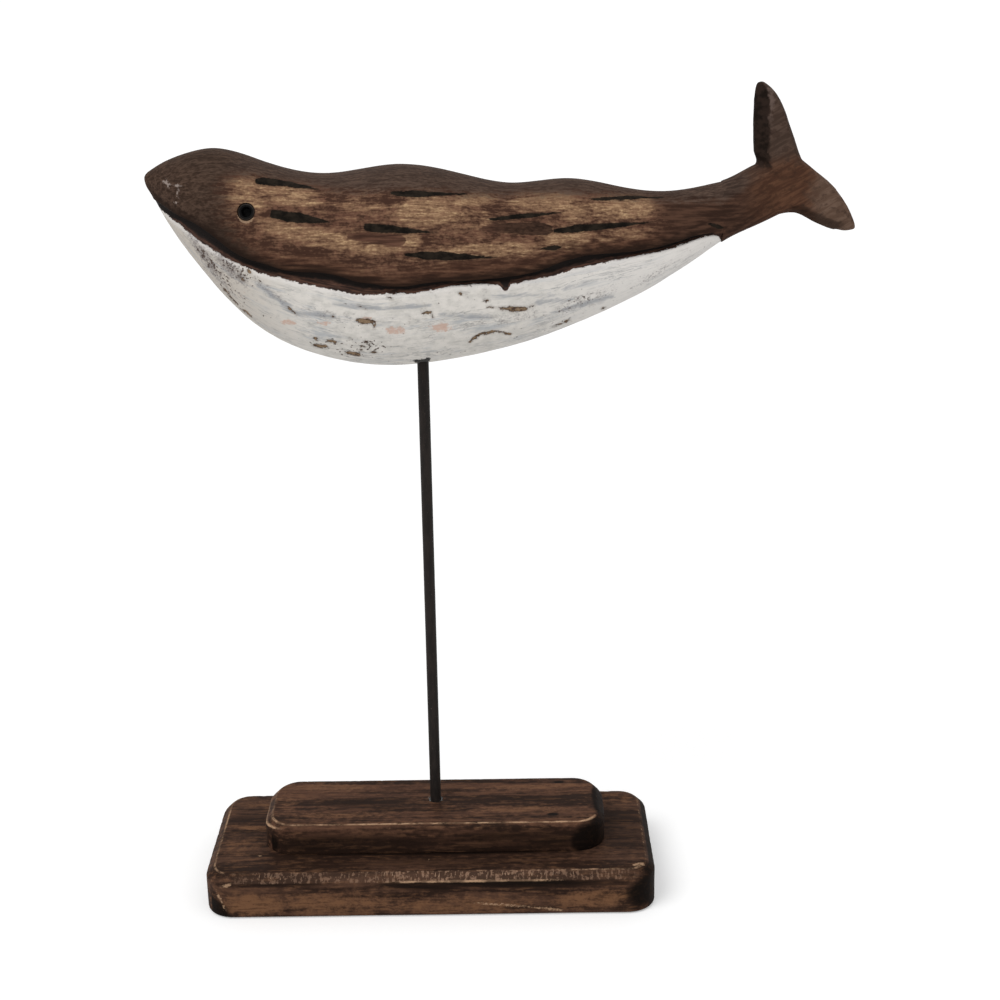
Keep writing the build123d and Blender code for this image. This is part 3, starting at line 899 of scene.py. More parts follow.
def board_finish(name, deep, warm, golden):
    """Dark oiled board with fine streaks along its length, golden and dark places, painted shade towards the
    right end, and edges rubbed pale, partly as painted highlight.
    """
    material, root, place = new_finish(name)
    band = grains(place, (0.012, 0.13, 0.13), 3.0, 0.6)
    streak = grains(place, (0.03, 0.42, 0.42), 4.0, 0.6, 0.2)
    fibre = grains(place, (0.1, 1.0, 1.0), 3.0, 0.6)
    mottle = grains(place, (0.3, 0.5, 0.5), 4.0, 0.65)
    speck = grains(place, (0.9, 1.2, 1.2), 3.0, 0.65)
    ticks = grains(place, (0.9, 0.3, 0.3), 3.0, 0.6)
    edge = field(root, "edge")
    slope = field(root, "slope")
    gold = field(root, "gold")
    dark = field(root, "dark")
    warmth = between(band + streak.sway(0.7) + mottle.sway(0.5) + gold * 0.14 - dark * 0.12, 0.36, 0.64)
    colour = mixed(warmth, deep, warm)
    gilt = between(gold + mottle.sway(1.6) + streak.sway(0.8) + speck.sway(0.6), 0.2, 1.1)
    colour = mixed(gilt * 0.85, colour, golden)
    colour = mixed(between(fibre + mottle.sway(0.6), 0.5, 0.68) * 0.35, colour, golden)
    colour = mixed(between(fibre + speck.sway(0.4), 0.48, 0.34) * 0.45, colour, deep)
    # Dark places: dark stain, and painted shade towards the right ends.
    gloom = between(dark + streak.sway(1.0) + mottle.sway(0.8), 0.25, 0.95)
    colour = mixed(gloom * 0.9, colour, tone(14, 10, 8))
    patchy = speck.sway(1.4) + mottle.sway(1.6)
    broken = 0.25 + 0.75 * between(grains(place, (0.11, 0.11, 0.11), 3.0, 0.65), 0.4, 0.58)
    chatter = field(root, "chatter") * between(slope, -0.3, 0.3) * between(edge, 0.3, -0.3)
    colour = mixed(between(ticks, 0.48, 0.4) * chatter * 0.5, colour, tone(30, 21, 17))
    colour = mixed(chatter * 0.35, colour, tone(100, 76, 62))
    bitten = between(ticks + speck.sway(0.5) + mottle.sway(0.6), 0.52, 0.62) * chatter
    colour = mixed(bitten * 0.65, colour, tone(152, 121, 100))
    # Pale upper and lower chamfer edges: worn wood, partly painted highlight.
    top_edge_wear_and_highlight = between(abs(edge + 0.2) + patchy * 0.5, 0.55, 0.1)
    top_edge_wear_and_highlight = top_edge_wear_and_highlight * between(field(root, "rub_and_highlight") + patchy, 0.3, 1.1)
    low_edge_wear_and_highlight = between(abs(slope) + patchy * 0.5, 0.7, 0.1)
    low_edge_wear_and_highlight = low_edge_wear_and_highlight * between(field(root, "rub_low_and_highlight") + patchy, 0.4, 1.1)
    scratched = between(field(root, "scratch") + speck.sway(2.2) + mottle.sway(2.0), 0.3, -0.3)
    rubbed = larger(larger(top_edge_wear_and_highlight, low_edge_wear_and_highlight) * broken, scratched * 0.75)
    colour = mixed(rubbed * 0.75, colour, tone(200, 163, 130))
    glue = between(field(root, "glue") + speck.sway(0.8), 0.35, 0.0)
    colour = mixed(glue * 0.7, colour, tone(140, 126, 116))
    height = streak * 0.4 + fibre * 0.3 + mottle * 0.3 - bitten * 0.5
    finish(root, colour, 0.5 + 0.22 * fibre, height, relief=0.18, gloss=dull_gloss)
    return material


def rod_finish():
    """Matt black paint on a steel rod."""
    material, root, place = new_finish("black_rod")
    mottle = grains(place, (0.6, 0.6, 0.12), 3.0, 0.6)
    speck = grains(place, (2.2, 2.2, 1.4), 2.0, 0.6)
    colour = mixed(between(mottle, 0.35, 0.65), tone(26, 22, 20), tone(38, 32, 29))
    colour = mixed(between(speck, 0.7, 0.76), colour, tone(92, 82, 74))
    finish(root, colour, 0.5 + 0.2 * mottle, speck, relief=0.05, gloss=0.14)
    return material


def screw_finish():
    """Dull zinc of the screws, with tarnish and fine scratches."""
    material, root, place = new_finish("screw_steel")
    tarnish = grains(place, (0.5, 0.5, 0.5), 4.0, 0.65)
    scratch = grains(place, (3.0, 0.25, 3.0), 2.0, 0.5)
    light = tone(150, 148, 142)
    colour = mixed(between(tarnish, 0.35, 0.65), tone(84, 80, 74), light)
    colour = mixed(between(scratch, 0.6, 0.7) * 0.4, colour, light)
    finish(root, colour, 0.38 + 0.3 * tarnish, scratch, relief=0.03, metallic=0.85)
    return material


def rivet_finish():
    """Dull dark rivet of an eye, with painted shade that makes its hollow black."""
    material, root, place = new_finish("dark_rivet")
    tarnish = grains(place, (0.9, 0.9, 0.9), 4.0, 0.65)
    colour = mixed(between(tarnish, 0.35, 0.65), tone(50, 44, 40), tone(74, 66, 61))
    # Painted shade: the bore is painted black.
    colour = mixed(between(field(root, "bore_shade") + tarnish.sway(0.4), 0.1, 0.8), colour, tone(6, 5, 5))
    finish(root, colour, 0.45 + 0.2 * tarnish, tarnish, relief=0.04, gloss=0.08, metallic=0.1)
    return material


def dowel_finish():
    """Plain pale beech of the dowel."""
    material, root, place = new_finish("beech_dowel")
    fibre = grains(place, (0.15, 2.0, 2.0), 3.0, 0.6)
    colour = mixed(fibre, tone(176, 138, 98), tone(212, 178, 136))
    finish(root, colour, 0.6 + 0.1 * fibre, fibre, relief=0.06, gloss=0.35)
    return material


def sliver_finish():
    """Pale fibres torn up along the chamfer."""
    material, root, place = new_finish("pale_slivers")
    mottle = grains(place, (0.15, 0.8, 0.8), 3.0, 0.6)
    colour = mixed(between(mottle, 0.35, 0.65), tone(88, 66, 53), tone(158, 127, 102))
    finish(root, colour, 0.7 + 0.1 * mottle, mottle, relief=0.05, gloss=0.3)
    return material


# Whale body

back_line = smooth_line(back_shares)
keel_line = smooth_line(keel_shares)
breadth_line = smooth_line(breadth_shares)
paint_line = smooth_line(paint_shares)
lip_line = smooth_line(lip_shares)
crown_line = smooth_line(crown_shares)


def height_at(line, along):
    """Height in millimetres of a body line."""
    return keel_height + body_height * line(along)


def section(along, turn, inset=0.0):
    """Half breadth and height of the body's skin. Turn is 0 at the keel, 1 at the side and 2 at the top."""
    keel = height_at(keel_line, along) + keel_trim
    top = height_at(back_line, along) - crown_trim
    breadth = np.maximum(half_breadth * breadth_line(along) - inset, 0.2)
    middle = (keel + top) / 2
    end = np.where(turn >= 1, top, keel)
    q = np.abs(turn - 1)
    p = 1 - q
    across = breadth * (p ** 3 + 3 * p * p * q + side_fullness * 3 * p * q * q)
    reach = middle + side_fullness * (end - middle)
    up = middle * p ** 3 + reach * 3 * p * p * q + end * (3 * p * q * q + q ** 3)
    return across, up


def turn_at(along, height):
    """Turn at which the body's skin has the given height."""
    low = np.zeros_like(along)
    high = np.full_like(along, 2.0)
    for _ in range(40):
        middle = (low + high) / 2
        below = section(along, middle)[1] < height
        low = np.where(below, middle, low)
        high = np.where(below, high, middle)
    return low


def full_rings(along, across, up):
    """Closed rings of points from the half sections of both sides."""
    near = np.stack([np.zeros_like(across) + along, whale_y - across, up], axis=-1)
    far = np.stack([np.zeros_like(across) + along, whale_y + across, up], axis=-1)
    rings = np.concatenate([near, far[:, -2:0:-1]], axis=1)
    rings[..., 0] = nose_x + rings[..., 0] * body_length
    return rings


def ring_normals(rings):
    """Directions square to the skin at the points of some rings, with none at their closed ends."""
    lengthwise = np.gradient(rings, axis=0)
    around = (np.roll(rings, -1, axis=1) - np.roll(rings, 1, axis=1)) / 2
    normals = np.cross(around, lengthwise)
    size = np.linalg.norm(normals, axis=-1, keepdims=True)
    normals = np.pad(normals / np.maximum(size, 1e-9), ((1, 1), (0, 0), (0, 0)))
    return normals.reshape(-1, 3)


def side_places(points):
    """Length and height of points, with the far side's marks moved."""
    far = (points[:, 1] > whale_y)[:, None]
    places = points[:, [0, 2]] - far * far_shift
    return places[:, 0], places[:, 1]


def eye_middle(node):
    """Middle of an eye, set where the drill went in."""
    low, high = box_mm(node)
    inward = 1 if high[1] < whale_y else -1
    return Vector((low + high) / 2) + Vector((eye_shift[0], inward * eye_shift[1], eye_shift[2]))


def eye_axis(side):
    """Direction in which an eye's socket opens: side is 1 for the viewer's side and -1 for the far one."""
    return Vector((eye_slant.x, side * eye_slant.y, eye_slant.z))


def back_rings():
    """Rings of the back's skin: out from the middle below, round the lip and up the side to the crown."""
    along = np.linspace(0, 1, back_stations)[:, None] ** nose_crowding
    keel = height_at(keel_line, along) + keel_trim
    lip = np.maximum(height_at(lip_line, along), keel)
    open_mouth = ease(lip - keel, 0.0, 3.0) * (1 - 0.7 * ease(along, *groove_closing))
    radius = lip_radius * open_mouth
    first_turn = turn_at(along, lip + radius)
    side_turns = first_turn + (2 - first_turn) * np.linspace(0, 1, back_turns)
    across, up = section(along, side_turns)
    edge_across, edge_up = across[:, :1], up[:, :1]
    lip_turn = np.linspace(math.pi * 0.75, 0, 7)[:-1]
    lip_across = edge_across - radius + radius * np.cos(lip_turn)
    lip_up = edge_up - radius * np.sin(lip_turn)
    inner_across = np.maximum(edge_across - radius - lip_undercut * open_mouth, 0.25 * edge_across)
    inner_up = edge_up + 0.2 * open_mouth
    under_across = inner_across * np.linspace(0, 1, flat_turns)
    under_up = np.broadcast_to(inner_up, under_across.shape)
    across = np.concatenate([under_across, lip_across, across], axis=1)
    up = np.concatenate([under_up, lip_up, up], axis=1)
    tip = np.sqrt(np.clip(1 - (1 - along * body_length / nose_round) ** 2, 0, 1))
    tip = np.where(along * body_length < nose_round, tip, 1.0)
    centre = (keel + height_at(back_line, along)) / 2
    return full_rings(along, across * tip, centre + (up - centre) * tip)


def build_back(material):
    """The stained back, from its lip to the crown, with the overhanging lip, eye sockets and rod hole."""
    rings = back_rings()
    normals = ring_normals(rings)
    rings = closed_ends(rings)
    points = rings.reshape(-1, 3)
    x, z = side_places(points)
    lengthwise = (points[:, 0] - nose_x) / body_length
    above_lip = points[:, 2] - height_at(lip_line, lengthwise)
    stroke = stroke_distance(x, z, back_strokes, brush) + 0.3 * rough(points, (4.5, 30, 2.2), 61.0)
    smears = stroke_distance(x, z, back_smears, smear) + 0.6 * rough(points, (6.0, 30, 2.6), 67.0)
    worn = patch_strength(x, z, back_worn) + 0.25 * rough(points, (12, 30, 1.7), 71.0)
    on_side = ease(above_lip, 0.2, 2.5) * ease(tail_joint_x - points[:, 0], 0.0, 5.0)
    relief = 0.16 * rough(points, (34, 9, 8)) + 0.05 * rough(points, (9, 2.2, 1.8), 7.0)
    relief -= 0.14 * ease(-stroke, -0.15, 0.35)
    lip_knife = 0.28 * rough(points, (4.5, 30, 30), 3.0) * bell(above_lip, 0.6, 1.4)
    points = points + normals * (relief * on_side + lip_knife * ease(above_lip, -0.9, 0.2))[:, None]
    mesh = skin(points.reshape(rings.shape))
    wander = rough(points, (14, 30, 30), 11.0)
    border_z, border_x = np.array(head_border).T
    eye = eye_middle("left_eye")
    eye_x, eye_z = points[:, 0] - eye.x, points[:, 2] - eye.z
    below_eye = ease(-(eye_z + 0.3 * eye_x), -1.0, 1.4)
    add_fields(mesh, {
        "stroke": stroke,
        "smear": smears,
        "worn": worn,
        "crown": np.clip(points[:, 2] - height_at(crown_line, lengthwise) + wander, -20, 20),
        "head": np.clip(np.interp(points[:, 2], border_z, border_x) - points[:, 0], -40, 40),
        "rump": np.clip(points[:, 0] - rump_start, -40, 40),
        "hem": np.clip(above_lip, -2, 20),
        "socket": np.minimum(np.hypot(eye_x, eye_z * 1.03) + 1.2 * (1 - below_eye), 12.0),
        "scuff": np.where(points[:, 1] < whale_y, stroke_distance(x, z, back_scuffs, spindle), 9.0),
    })
    with editing(mesh) as shape:
        tidy_mesh(shape)
        for node, side in (("left_eye", 1), ("right_eye", -1)):
            axis = eye_axis(side)
            rim = drill(shape, eye_middle(node), axis, eye_radius + socket_clearance, reach=6.0)
            sink(shape, rim, -axis * eye_length)
        mouth = Vector((0, whale_y, height_at(lip_line, rod_along)))
        rim = drill(shape, mouth, (0, 0, 1), rod_hole_radius, reach=5.0)
        sink(shape, rim, (0, 0, rod_high[2] - mouth.z + 0.5))
    return make_object("carved_back", mesh, material, smooth_angle=50)


def belly_start():
    """Share of the body's length at which the belly begins, where the lip parts from the keel."""
    along = np.linspace(0, 0.08, 400)
    return along[np.argmax(height_at(lip_line, along) > height_at(keel_line, along) + keel_trim + 0.05)]


def belly_rings(start):
    """Rings of the belly's skin: from the keel up the side to the lip, and back to the middle below it."""
    along = start + (1 - start) * np.linspace(0, 1, belly_stations)[:, None] ** nose_crowding
    lip = height_at(lip_line, along)
    turns = turn_at(along, lip) * np.linspace(0, 1, belly_turns)
    room = np.minimum(1.0, half_breadth * breadth_line(along) / 9.0)
    across, up = section(along, turns, belly_step * room)
    band = np.maximum(lip - height_at(paint_line, along), 0.8)
    closing = 1 - 0.8 * ease(along, *groove_closing)
    bevel = groove_depth * room * closing * (1 - ease(lip - up, 0.25 * band, band + 0.9))
    across = np.maximum(across - bevel * ease(turns, 0.0, 0.4), 0.0)
    under_across = across[:, -1:] * np.linspace(1, 0, flat_turns)[1:]
    across = np.concatenate([across, under_across], axis=1)
    up = np.concatenate([up, np.broadcast_to(lip, under_across.shape)], axis=1)
    return full_rings(along, across, up)


def mouth_distance(points):
    """Distance to the near-black place at the rod's mouth, where paint is missing and shade is painted,
    negative inside it.
    """
    in_front = whale_y - points[:, 1]
    chip_half = rod_radius + mouth_flare * ease(in_front, 0.6 * mouth_reach, mouth_reach)
    chip_half += 0.3 * rough(points, (30, 2.0, 30), 43.0)
    torn_end = in_front - mouth_reach + 0.8 * rough(points, (1.2, 30, 30), 47.0)
    torn = np.maximum(np.maximum(np.abs(points[:, 0] - mouth_shift) - chip_half, torn_end), -in_front)
    return np.minimum(np.hypot(points[:, 0], in_front) - rod_radius - 0.6, torn)


def build_belly(material):
    """The painted belly, set in under the back, with its raw upper bevel, chips and the rod's mouth."""
    start = belly_start()
    rings = belly_rings(start)
    normals = -ring_normals(rings)
    rings = closed_ends(rings)
    points = rings.reshape(-1, 3)
    x, z = side_places(points)
    lengthwise = (points[:, 0] - nose_x) / body_length
    paint_height = height_at(paint_line, lengthwise)
    lip_height = height_at(lip_line, lengthwise)
    notch_reach = np.where(x < notch_x, notch_left, notch_right)
    notch = notch_depth * np.exp(-np.abs((x - notch_x) / notch_reach) ** 3)
    ragged = 0.3 * rough(points, (2.2, 30, 30), 5.0) + 0.25 * rough(points, (7, 30, 30), 15.0)
    ragged += 0.7 * rough(points, (1.8, 30, 2.5), 25.0) * bell(x, ragged_x, ragged_spread)
    ragged -= 1.6 * ease(points[:, 0], tail_joint_x - 2.0, tail_joint_x)
    paint = paint_height - notch + ragged - points[:, 2]
    # Painted shadow in the groove, reaching further in some stretches and falling away at the tail joint.
    gloom = sum(amount * ease(way * x, low, high) for amount, way, low, high in groove_painted_shadow)
    gloom -= 2.0 * ease(points[:, 0], tail_joint_x - 4.0, tail_joint_x - 1.0)
    groove_share = np.clip(-paint / np.maximum(lip_height - paint_height, 0.8), 0, 2) + gloom
    chip = stroke_distance(x, z, belly_chips, spindle) + 0.4 * rough(points, (2.6, 30, 1.3), 73.0)
    keel = height_at(keel_line, lengthwise) + keel_trim
    depth = (paint_height - points[:, 2]) / np.maximum(paint_height - keel, 1.0)
    mouth = mouth_distance(points)
    relief = 0.14 * rough(points, (26, 10, 7), 21.0) + 0.05 * rough(points, (6, 3, 2), 27.0)
    relief -= 0.28 * ease(-chip, -0.25, 0.3)
    relief += 0.22 * ease(paint, -0.4, 0.5)
    fibres = 0.3 * rough(points, (5.0, 3.0, 0.7), 31.0) * (1 - ease(paint, -0.6, 0.3))
    relief = (relief + fibres) * ease(lip_height - points[:, 2], 0.0, 0.8)
    relief *= ease(lengthwise, start, start + 0.04)
    relief -= 0.5 * ease(-mouth, 0.2, 1.2) * (1 + 0.5 * rough(points, (1.2, 1.2, 1.2), 41.0))
    points = points + normals * relief[:, None]
    mesh = skin(points.reshape(rings.shape))
    add_fields(mesh, {
        "paint": paint,
        "band": groove_share,
        "chip": chip,
        "wash": stroke_distance(x, z, belly_washes, spindle),
        "peach": patch_strength(x, z, [(*spot, 0.0, 1.0) for spot in belly_peach]),
        "rubbed": patch_strength(x, z, belly_rubbed),
        "pits": patch_strength(x, z, belly_pits),
        # How far down towards the keel a point lies, for the painted shade there
        "low": ease(depth, 0.6, 1.0),
        "mouth": np.minimum(mouth, 12.0),
        "flow": np.stack([points[:, 0], depth * 32.0, np.sign(points[:, 1] - whale_y) * 40.0], axis=1),
    })
    with editing(mesh) as shape:
        tidy_mesh(shape)
        floor_height = height_at(keel_line, rod_along) + keel_trim
        roof_height = height_at(lip_line, rod_along)
        lower_rim = drill(shape, (0, whale_y, floor_height), (0, 0, 1), rod_hole_radius, reach=4.0)
        upper_rim = drill(shape, (0, whale_y, roof_height), (0, 0, 1), rod_hole_radius, reach=4.0)
        bmesh.ops.bridge_loops(shape, edges=lower_rim + upper_rim)
        bmesh.ops.recalc_face_normals(shape, faces=shape.faces)
    return make_object("painted_belly", mesh, material, smooth_angle=50)


# Tail

def tail_blank():
    """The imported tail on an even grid, its edges softened, with its dowel hole filled and a flat joint."""
    shape = bmesh.new()
    shape.from_mesh(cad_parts["whale_tail"].data)
    bmesh.ops.transform(shape, matrix=Matrix.Scale(1 / MM, 4), verts=shape.verts)
    bmesh.ops.remove_doubles(shape, verts=shape.verts, dist=1e-3)
    stub_along = np.array([-5.0, -2.5, 0.0, 0.3])[:, None] / body_length + 1
    stub_scale = np.array([1.0, 1.0, 1.0, 0.95])[:, None]
    across, up = section(np.minimum(stub_along, 1.0), np.linspace(0, 2, 40)[None, :])
    centre = up.mean(axis=1, keepdims=True)
    stub = full_rings(stub_along, across * stub_scale, centre + (up - centre) * stub_scale)
    dowel_z = (dowel_low[2] + dowel_high[2]) / 2
    plug_radius = (dowel_high[2] - dowel_low[2]) / 2 + 0.3
    plug = turned_rings([(plug_radius, tail_joint_x - 3), (plug_radius, dowel_high[0] + 0.5)], 24)
    plug = plug[..., [2, 0, 1]] + (0, whale_y, dowel_z)
    for rings in (stub, plug):
        shape.from_mesh(solid_skin(rings))
    rough_mesh = bpy.data.meshes.new("tail")
    shape.to_mesh(rough_mesh)
    shape.free()
    blank = new_object("tail_blank", rough_mesh)
    remesh = blank.modifiers.new("even", "REMESH")
    remesh.mode = "VOXEL"
    remesh.voxel_size = tail_voxel
    soften = blank.modifiers.new("soften", "SMOOTH")
    soften.factor = 0.5
    soften.iterations = 7
    mesh = evaluated_mesh(blank)
    with editing(mesh) as shape:
        cut = bmesh.ops.bisect_plane(
            shape, geom=shape.verts[:] + shape.edges[:] + shape.faces[:],
            plane_co=(tail_joint_x, 0, 0), plane_no=(1, 0, 0), clear_inner=True,
        )
        rim = [part for part in cut["geom_cut"] if isinstance(part, bmesh.types.BMEdge)]
        bmesh.ops.edgeloop_fill(shape, edges=rim)
        bmesh.ops.recalc_face_normals(shape, faces=shape.faces)
        tip = [vert for vert in shape.verts if vert.co.x > tip_start and vert.co.z < facet_root[1]]
        every_way = {"use_axis_x": True, "use_axis_y": True, "use_axis_z": True}
        for _ in range(tip_sanding):
            bmesh.ops.smooth_vert(shape, verts=tip, factor=0.5, **every_way)
    return mesh


def build_tail(material):
    """The tail with its flukes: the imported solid, softened as by a knife and sandpaper, with cut facets."""
    mesh = tail_blank()
    points = mesh_points(mesh)
    normals = np.empty(points.size, np.float32)
    mesh.vertex_normals.foreach_get("vector", normals)
    normals = normals.reshape(-1, 3)
    x, _, z = points.T
    above_root = ease(z, *fluke_root)
    x += tip_reach * ease(x, tip_start, tip_start + 8.0) - fluke_lean * above_root
    edge_x, edge_z = np.array(lower_edge).T
    underside = ease(np.interp(x, edge_x, edge_z) + 5.0 - z, 0.0, 5.0)
    drop = lower_drop * ease(x, *lower_stretch)
    drop += tip_drop * ease(x, tip_start, tip_start + 6.0) * underside
    drop += lower_belly * bell(x, bulge_x, bulge_spread) * underside
    z -= drop * (1 - above_root)
    border_x, border_z = np.array(facet_border).T
    upper = np.interp(z, border_z, border_x) - x
    upper += 0.5 * rough(points, (40, 40, 3.2), 9.0)
    root_height = facet_root[1] + facet_root_slope * (x - facet_root[0])
    upper = np.minimum(upper, (z - root_height) * 0.35)
    lower = np.interp(x, edge_x, edge_z) + lower_facet - drop - z
    lower += 0.3 * rough(points, (5, 40, 40), 13.0)
    facet_ends = np.minimum((x - facet_start) * 0.4, (facet_end - x) * 0.3)
    facet = np.maximum(upper, np.minimum(lower, facet_ends))
    bite_phase = z * 2 * math.pi / bite_spacing + 2.5 * rough(points, (40, 40, 7), 17.0)
    bites = 0.5 + 0.5 * np.sin(bite_phase)
    relief = -bite_depth * bites * bell(upper, 0.5, 1.1)
    relief += 0.12 * rough(points, (9, 6, 6), 19.0) + 0.04 * rough(points, (4, 1.5, 1.5), 23.0)
    outward = ease(normals[:, 0] + normals[:, 2], 0.5, 1.1)
    relief += fluke_swell * outward * bell(x, swell_x, swell_spread)
    relief *= ease(x, tail_joint_x, tail_joint_x + 5.0)
    points += normals * relief[:, None]
    mesh.vertices.foreach_set("co", points.ravel())
    crown_border = height_at(crown_line, 1.0) + 0.6 * (x - tail_joint_x)
    add_fields(mesh, {
        "facet": np.clip(facet, -9.0, 9.0),
        "upper": ease(z, *upper_grey),
        "lower": ease(x, *lower_grey) * (1 - above_root),
        "crown": z - crown_border + rough(points, (14, 30, 30), 11.0),
    })
    return make_object("carved_tail", mesh, material, smooth_angle=60)


# Rod and eyes

def build_rod(material):
    """The rod, with eased ends and a faintly uneven painted skin."""
    levels = np.linspace(rod_low[2], rod_high[2], 320)
    from_end = np.minimum(levels - rod_low[2], rod_high[2] - levels)
    end_length, end_ease = 0.6, 0.3
    end_share = 1 - np.minimum(from_end / end_length, 1)
    radius = rod_radius - end_ease * (1 - np.sqrt(np.clip(1 - end_share ** 2, 0, 1)))
    rings = turned_rings(np.column_stack([radius, levels]), 36)
    axis = np.array([0, whale_y, 0])
    bumps = rough((rings + axis).reshape(-1, 3), (1.6, 1.6, 4.0), 51.0).reshape(*rings.shape[:2], 1)
    rings[..., :2] *= 1 - 0.008 * (1 + bumps)
    return make_object("black_rod", solid_skin(rings + axis), material, smooth_angle=50)


def build_eye(node, side, material):
    """A hollow rivet with a rolled lip, square to the whale's side."""
    half = eye_length / 2
    floor = half - eye_bore_depth
    profile = [
        (0.0, floor), (eye_bore - 0.2, floor), (eye_bore, floor + 0.2), (eye_bore, half - 0.7),
        (eye_bore + 0.12, half - 0.32), (eye_bore + 0.4, half - 0.08), (eye_bore + 0.75, half),
        (eye_radius - 0.35, half - 0.12), (eye_radius - 0.1, half - 0.4), (eye_radius, half - 0.8),
        (eye_radius, 0.2 - half), (eye_radius - 0.2, -half), (0.0, -half),
    ]
    sides = 56
    turn = np.linspace(0, 2 * math.pi, sides, endpoint=False)
    dent = 1 + 0.012 * np.sin(3 * turn + 0.7) + 0.008 * np.sin(7 * turn)
    rings = turned_rings(profile, sides)
    rings[..., :2] *= dent[:, None]
    mesh = skin(rings)
    # Share of the profile inside the bore, for its painted shade
    add_fields(mesh, {"bore_shade": np.repeat(1 - ease(np.arange(len(profile)), 5.0, 8.0), sides)})
    facing = eye_axis(side).to_track_quat("Z", "Y").to_matrix().to_4x4()
    seat = Matrix.Translation(eye_middle(node)) @ facing
    with editing(mesh) as shape:
        tidy_mesh(shape)
        bmesh.ops.transform(shape, matrix=seat, verts=shape.verts)
    return make_object("rivet_" + node, mesh, material, smooth_angle=45)


# Base, made by geometry nodes

def new_tree(name, numbers, others):
    """Empty geometry tree with named inputs, its root and a wire for each input."""
    tree = bpy.data.node_groups.new(name, "GeometryNodeTree")
    for label in numbers:
        tree.interface.new_socket(label, in_out="INPUT", socket_type="NodeSocketFloat")
    for label, kind in others.items():
        tree.interface.new_socket(label, in_out="INPUT", socket_type=kind)
    tree.interface.new_socket("Shape", in_out="OUTPUT", socket_type="NodeSocketGeometry")
    given = tree.nodes.new("NodeGroupInput")
    wires = {socket.name: Wire(tree, socket) for socket in given.outputs if socket.name}
    return tree, Wire(tree), wires


def grown_mesh(tree, values):
    """Mesh that a geometry tree makes from the given values of its inputs."""
    holder = new_object("holder", bpy.data.meshes.new("seed"))
    modifier = holder.modifiers.new("shape", "NODES")
    modifier.node_group = tree
    for item in tree.interface.items_tree:
        if item.in_out == "INPUT":
            modifier[item.identifier] = values[item.name]
    return evaluated_mesh(holder)


def ramp(value, low, high):
    """Straight ramp of a wire from 0 at low to 1 at high."""
    return value.node("ShaderNodeMapRange", {}, {"Value": value, "From Min": low, "From Max": high})


def held_within(value, limit):
    """Wire kept between minus the limit and the limit."""
    return larger(smaller(value, limit), 0.0 - limit)


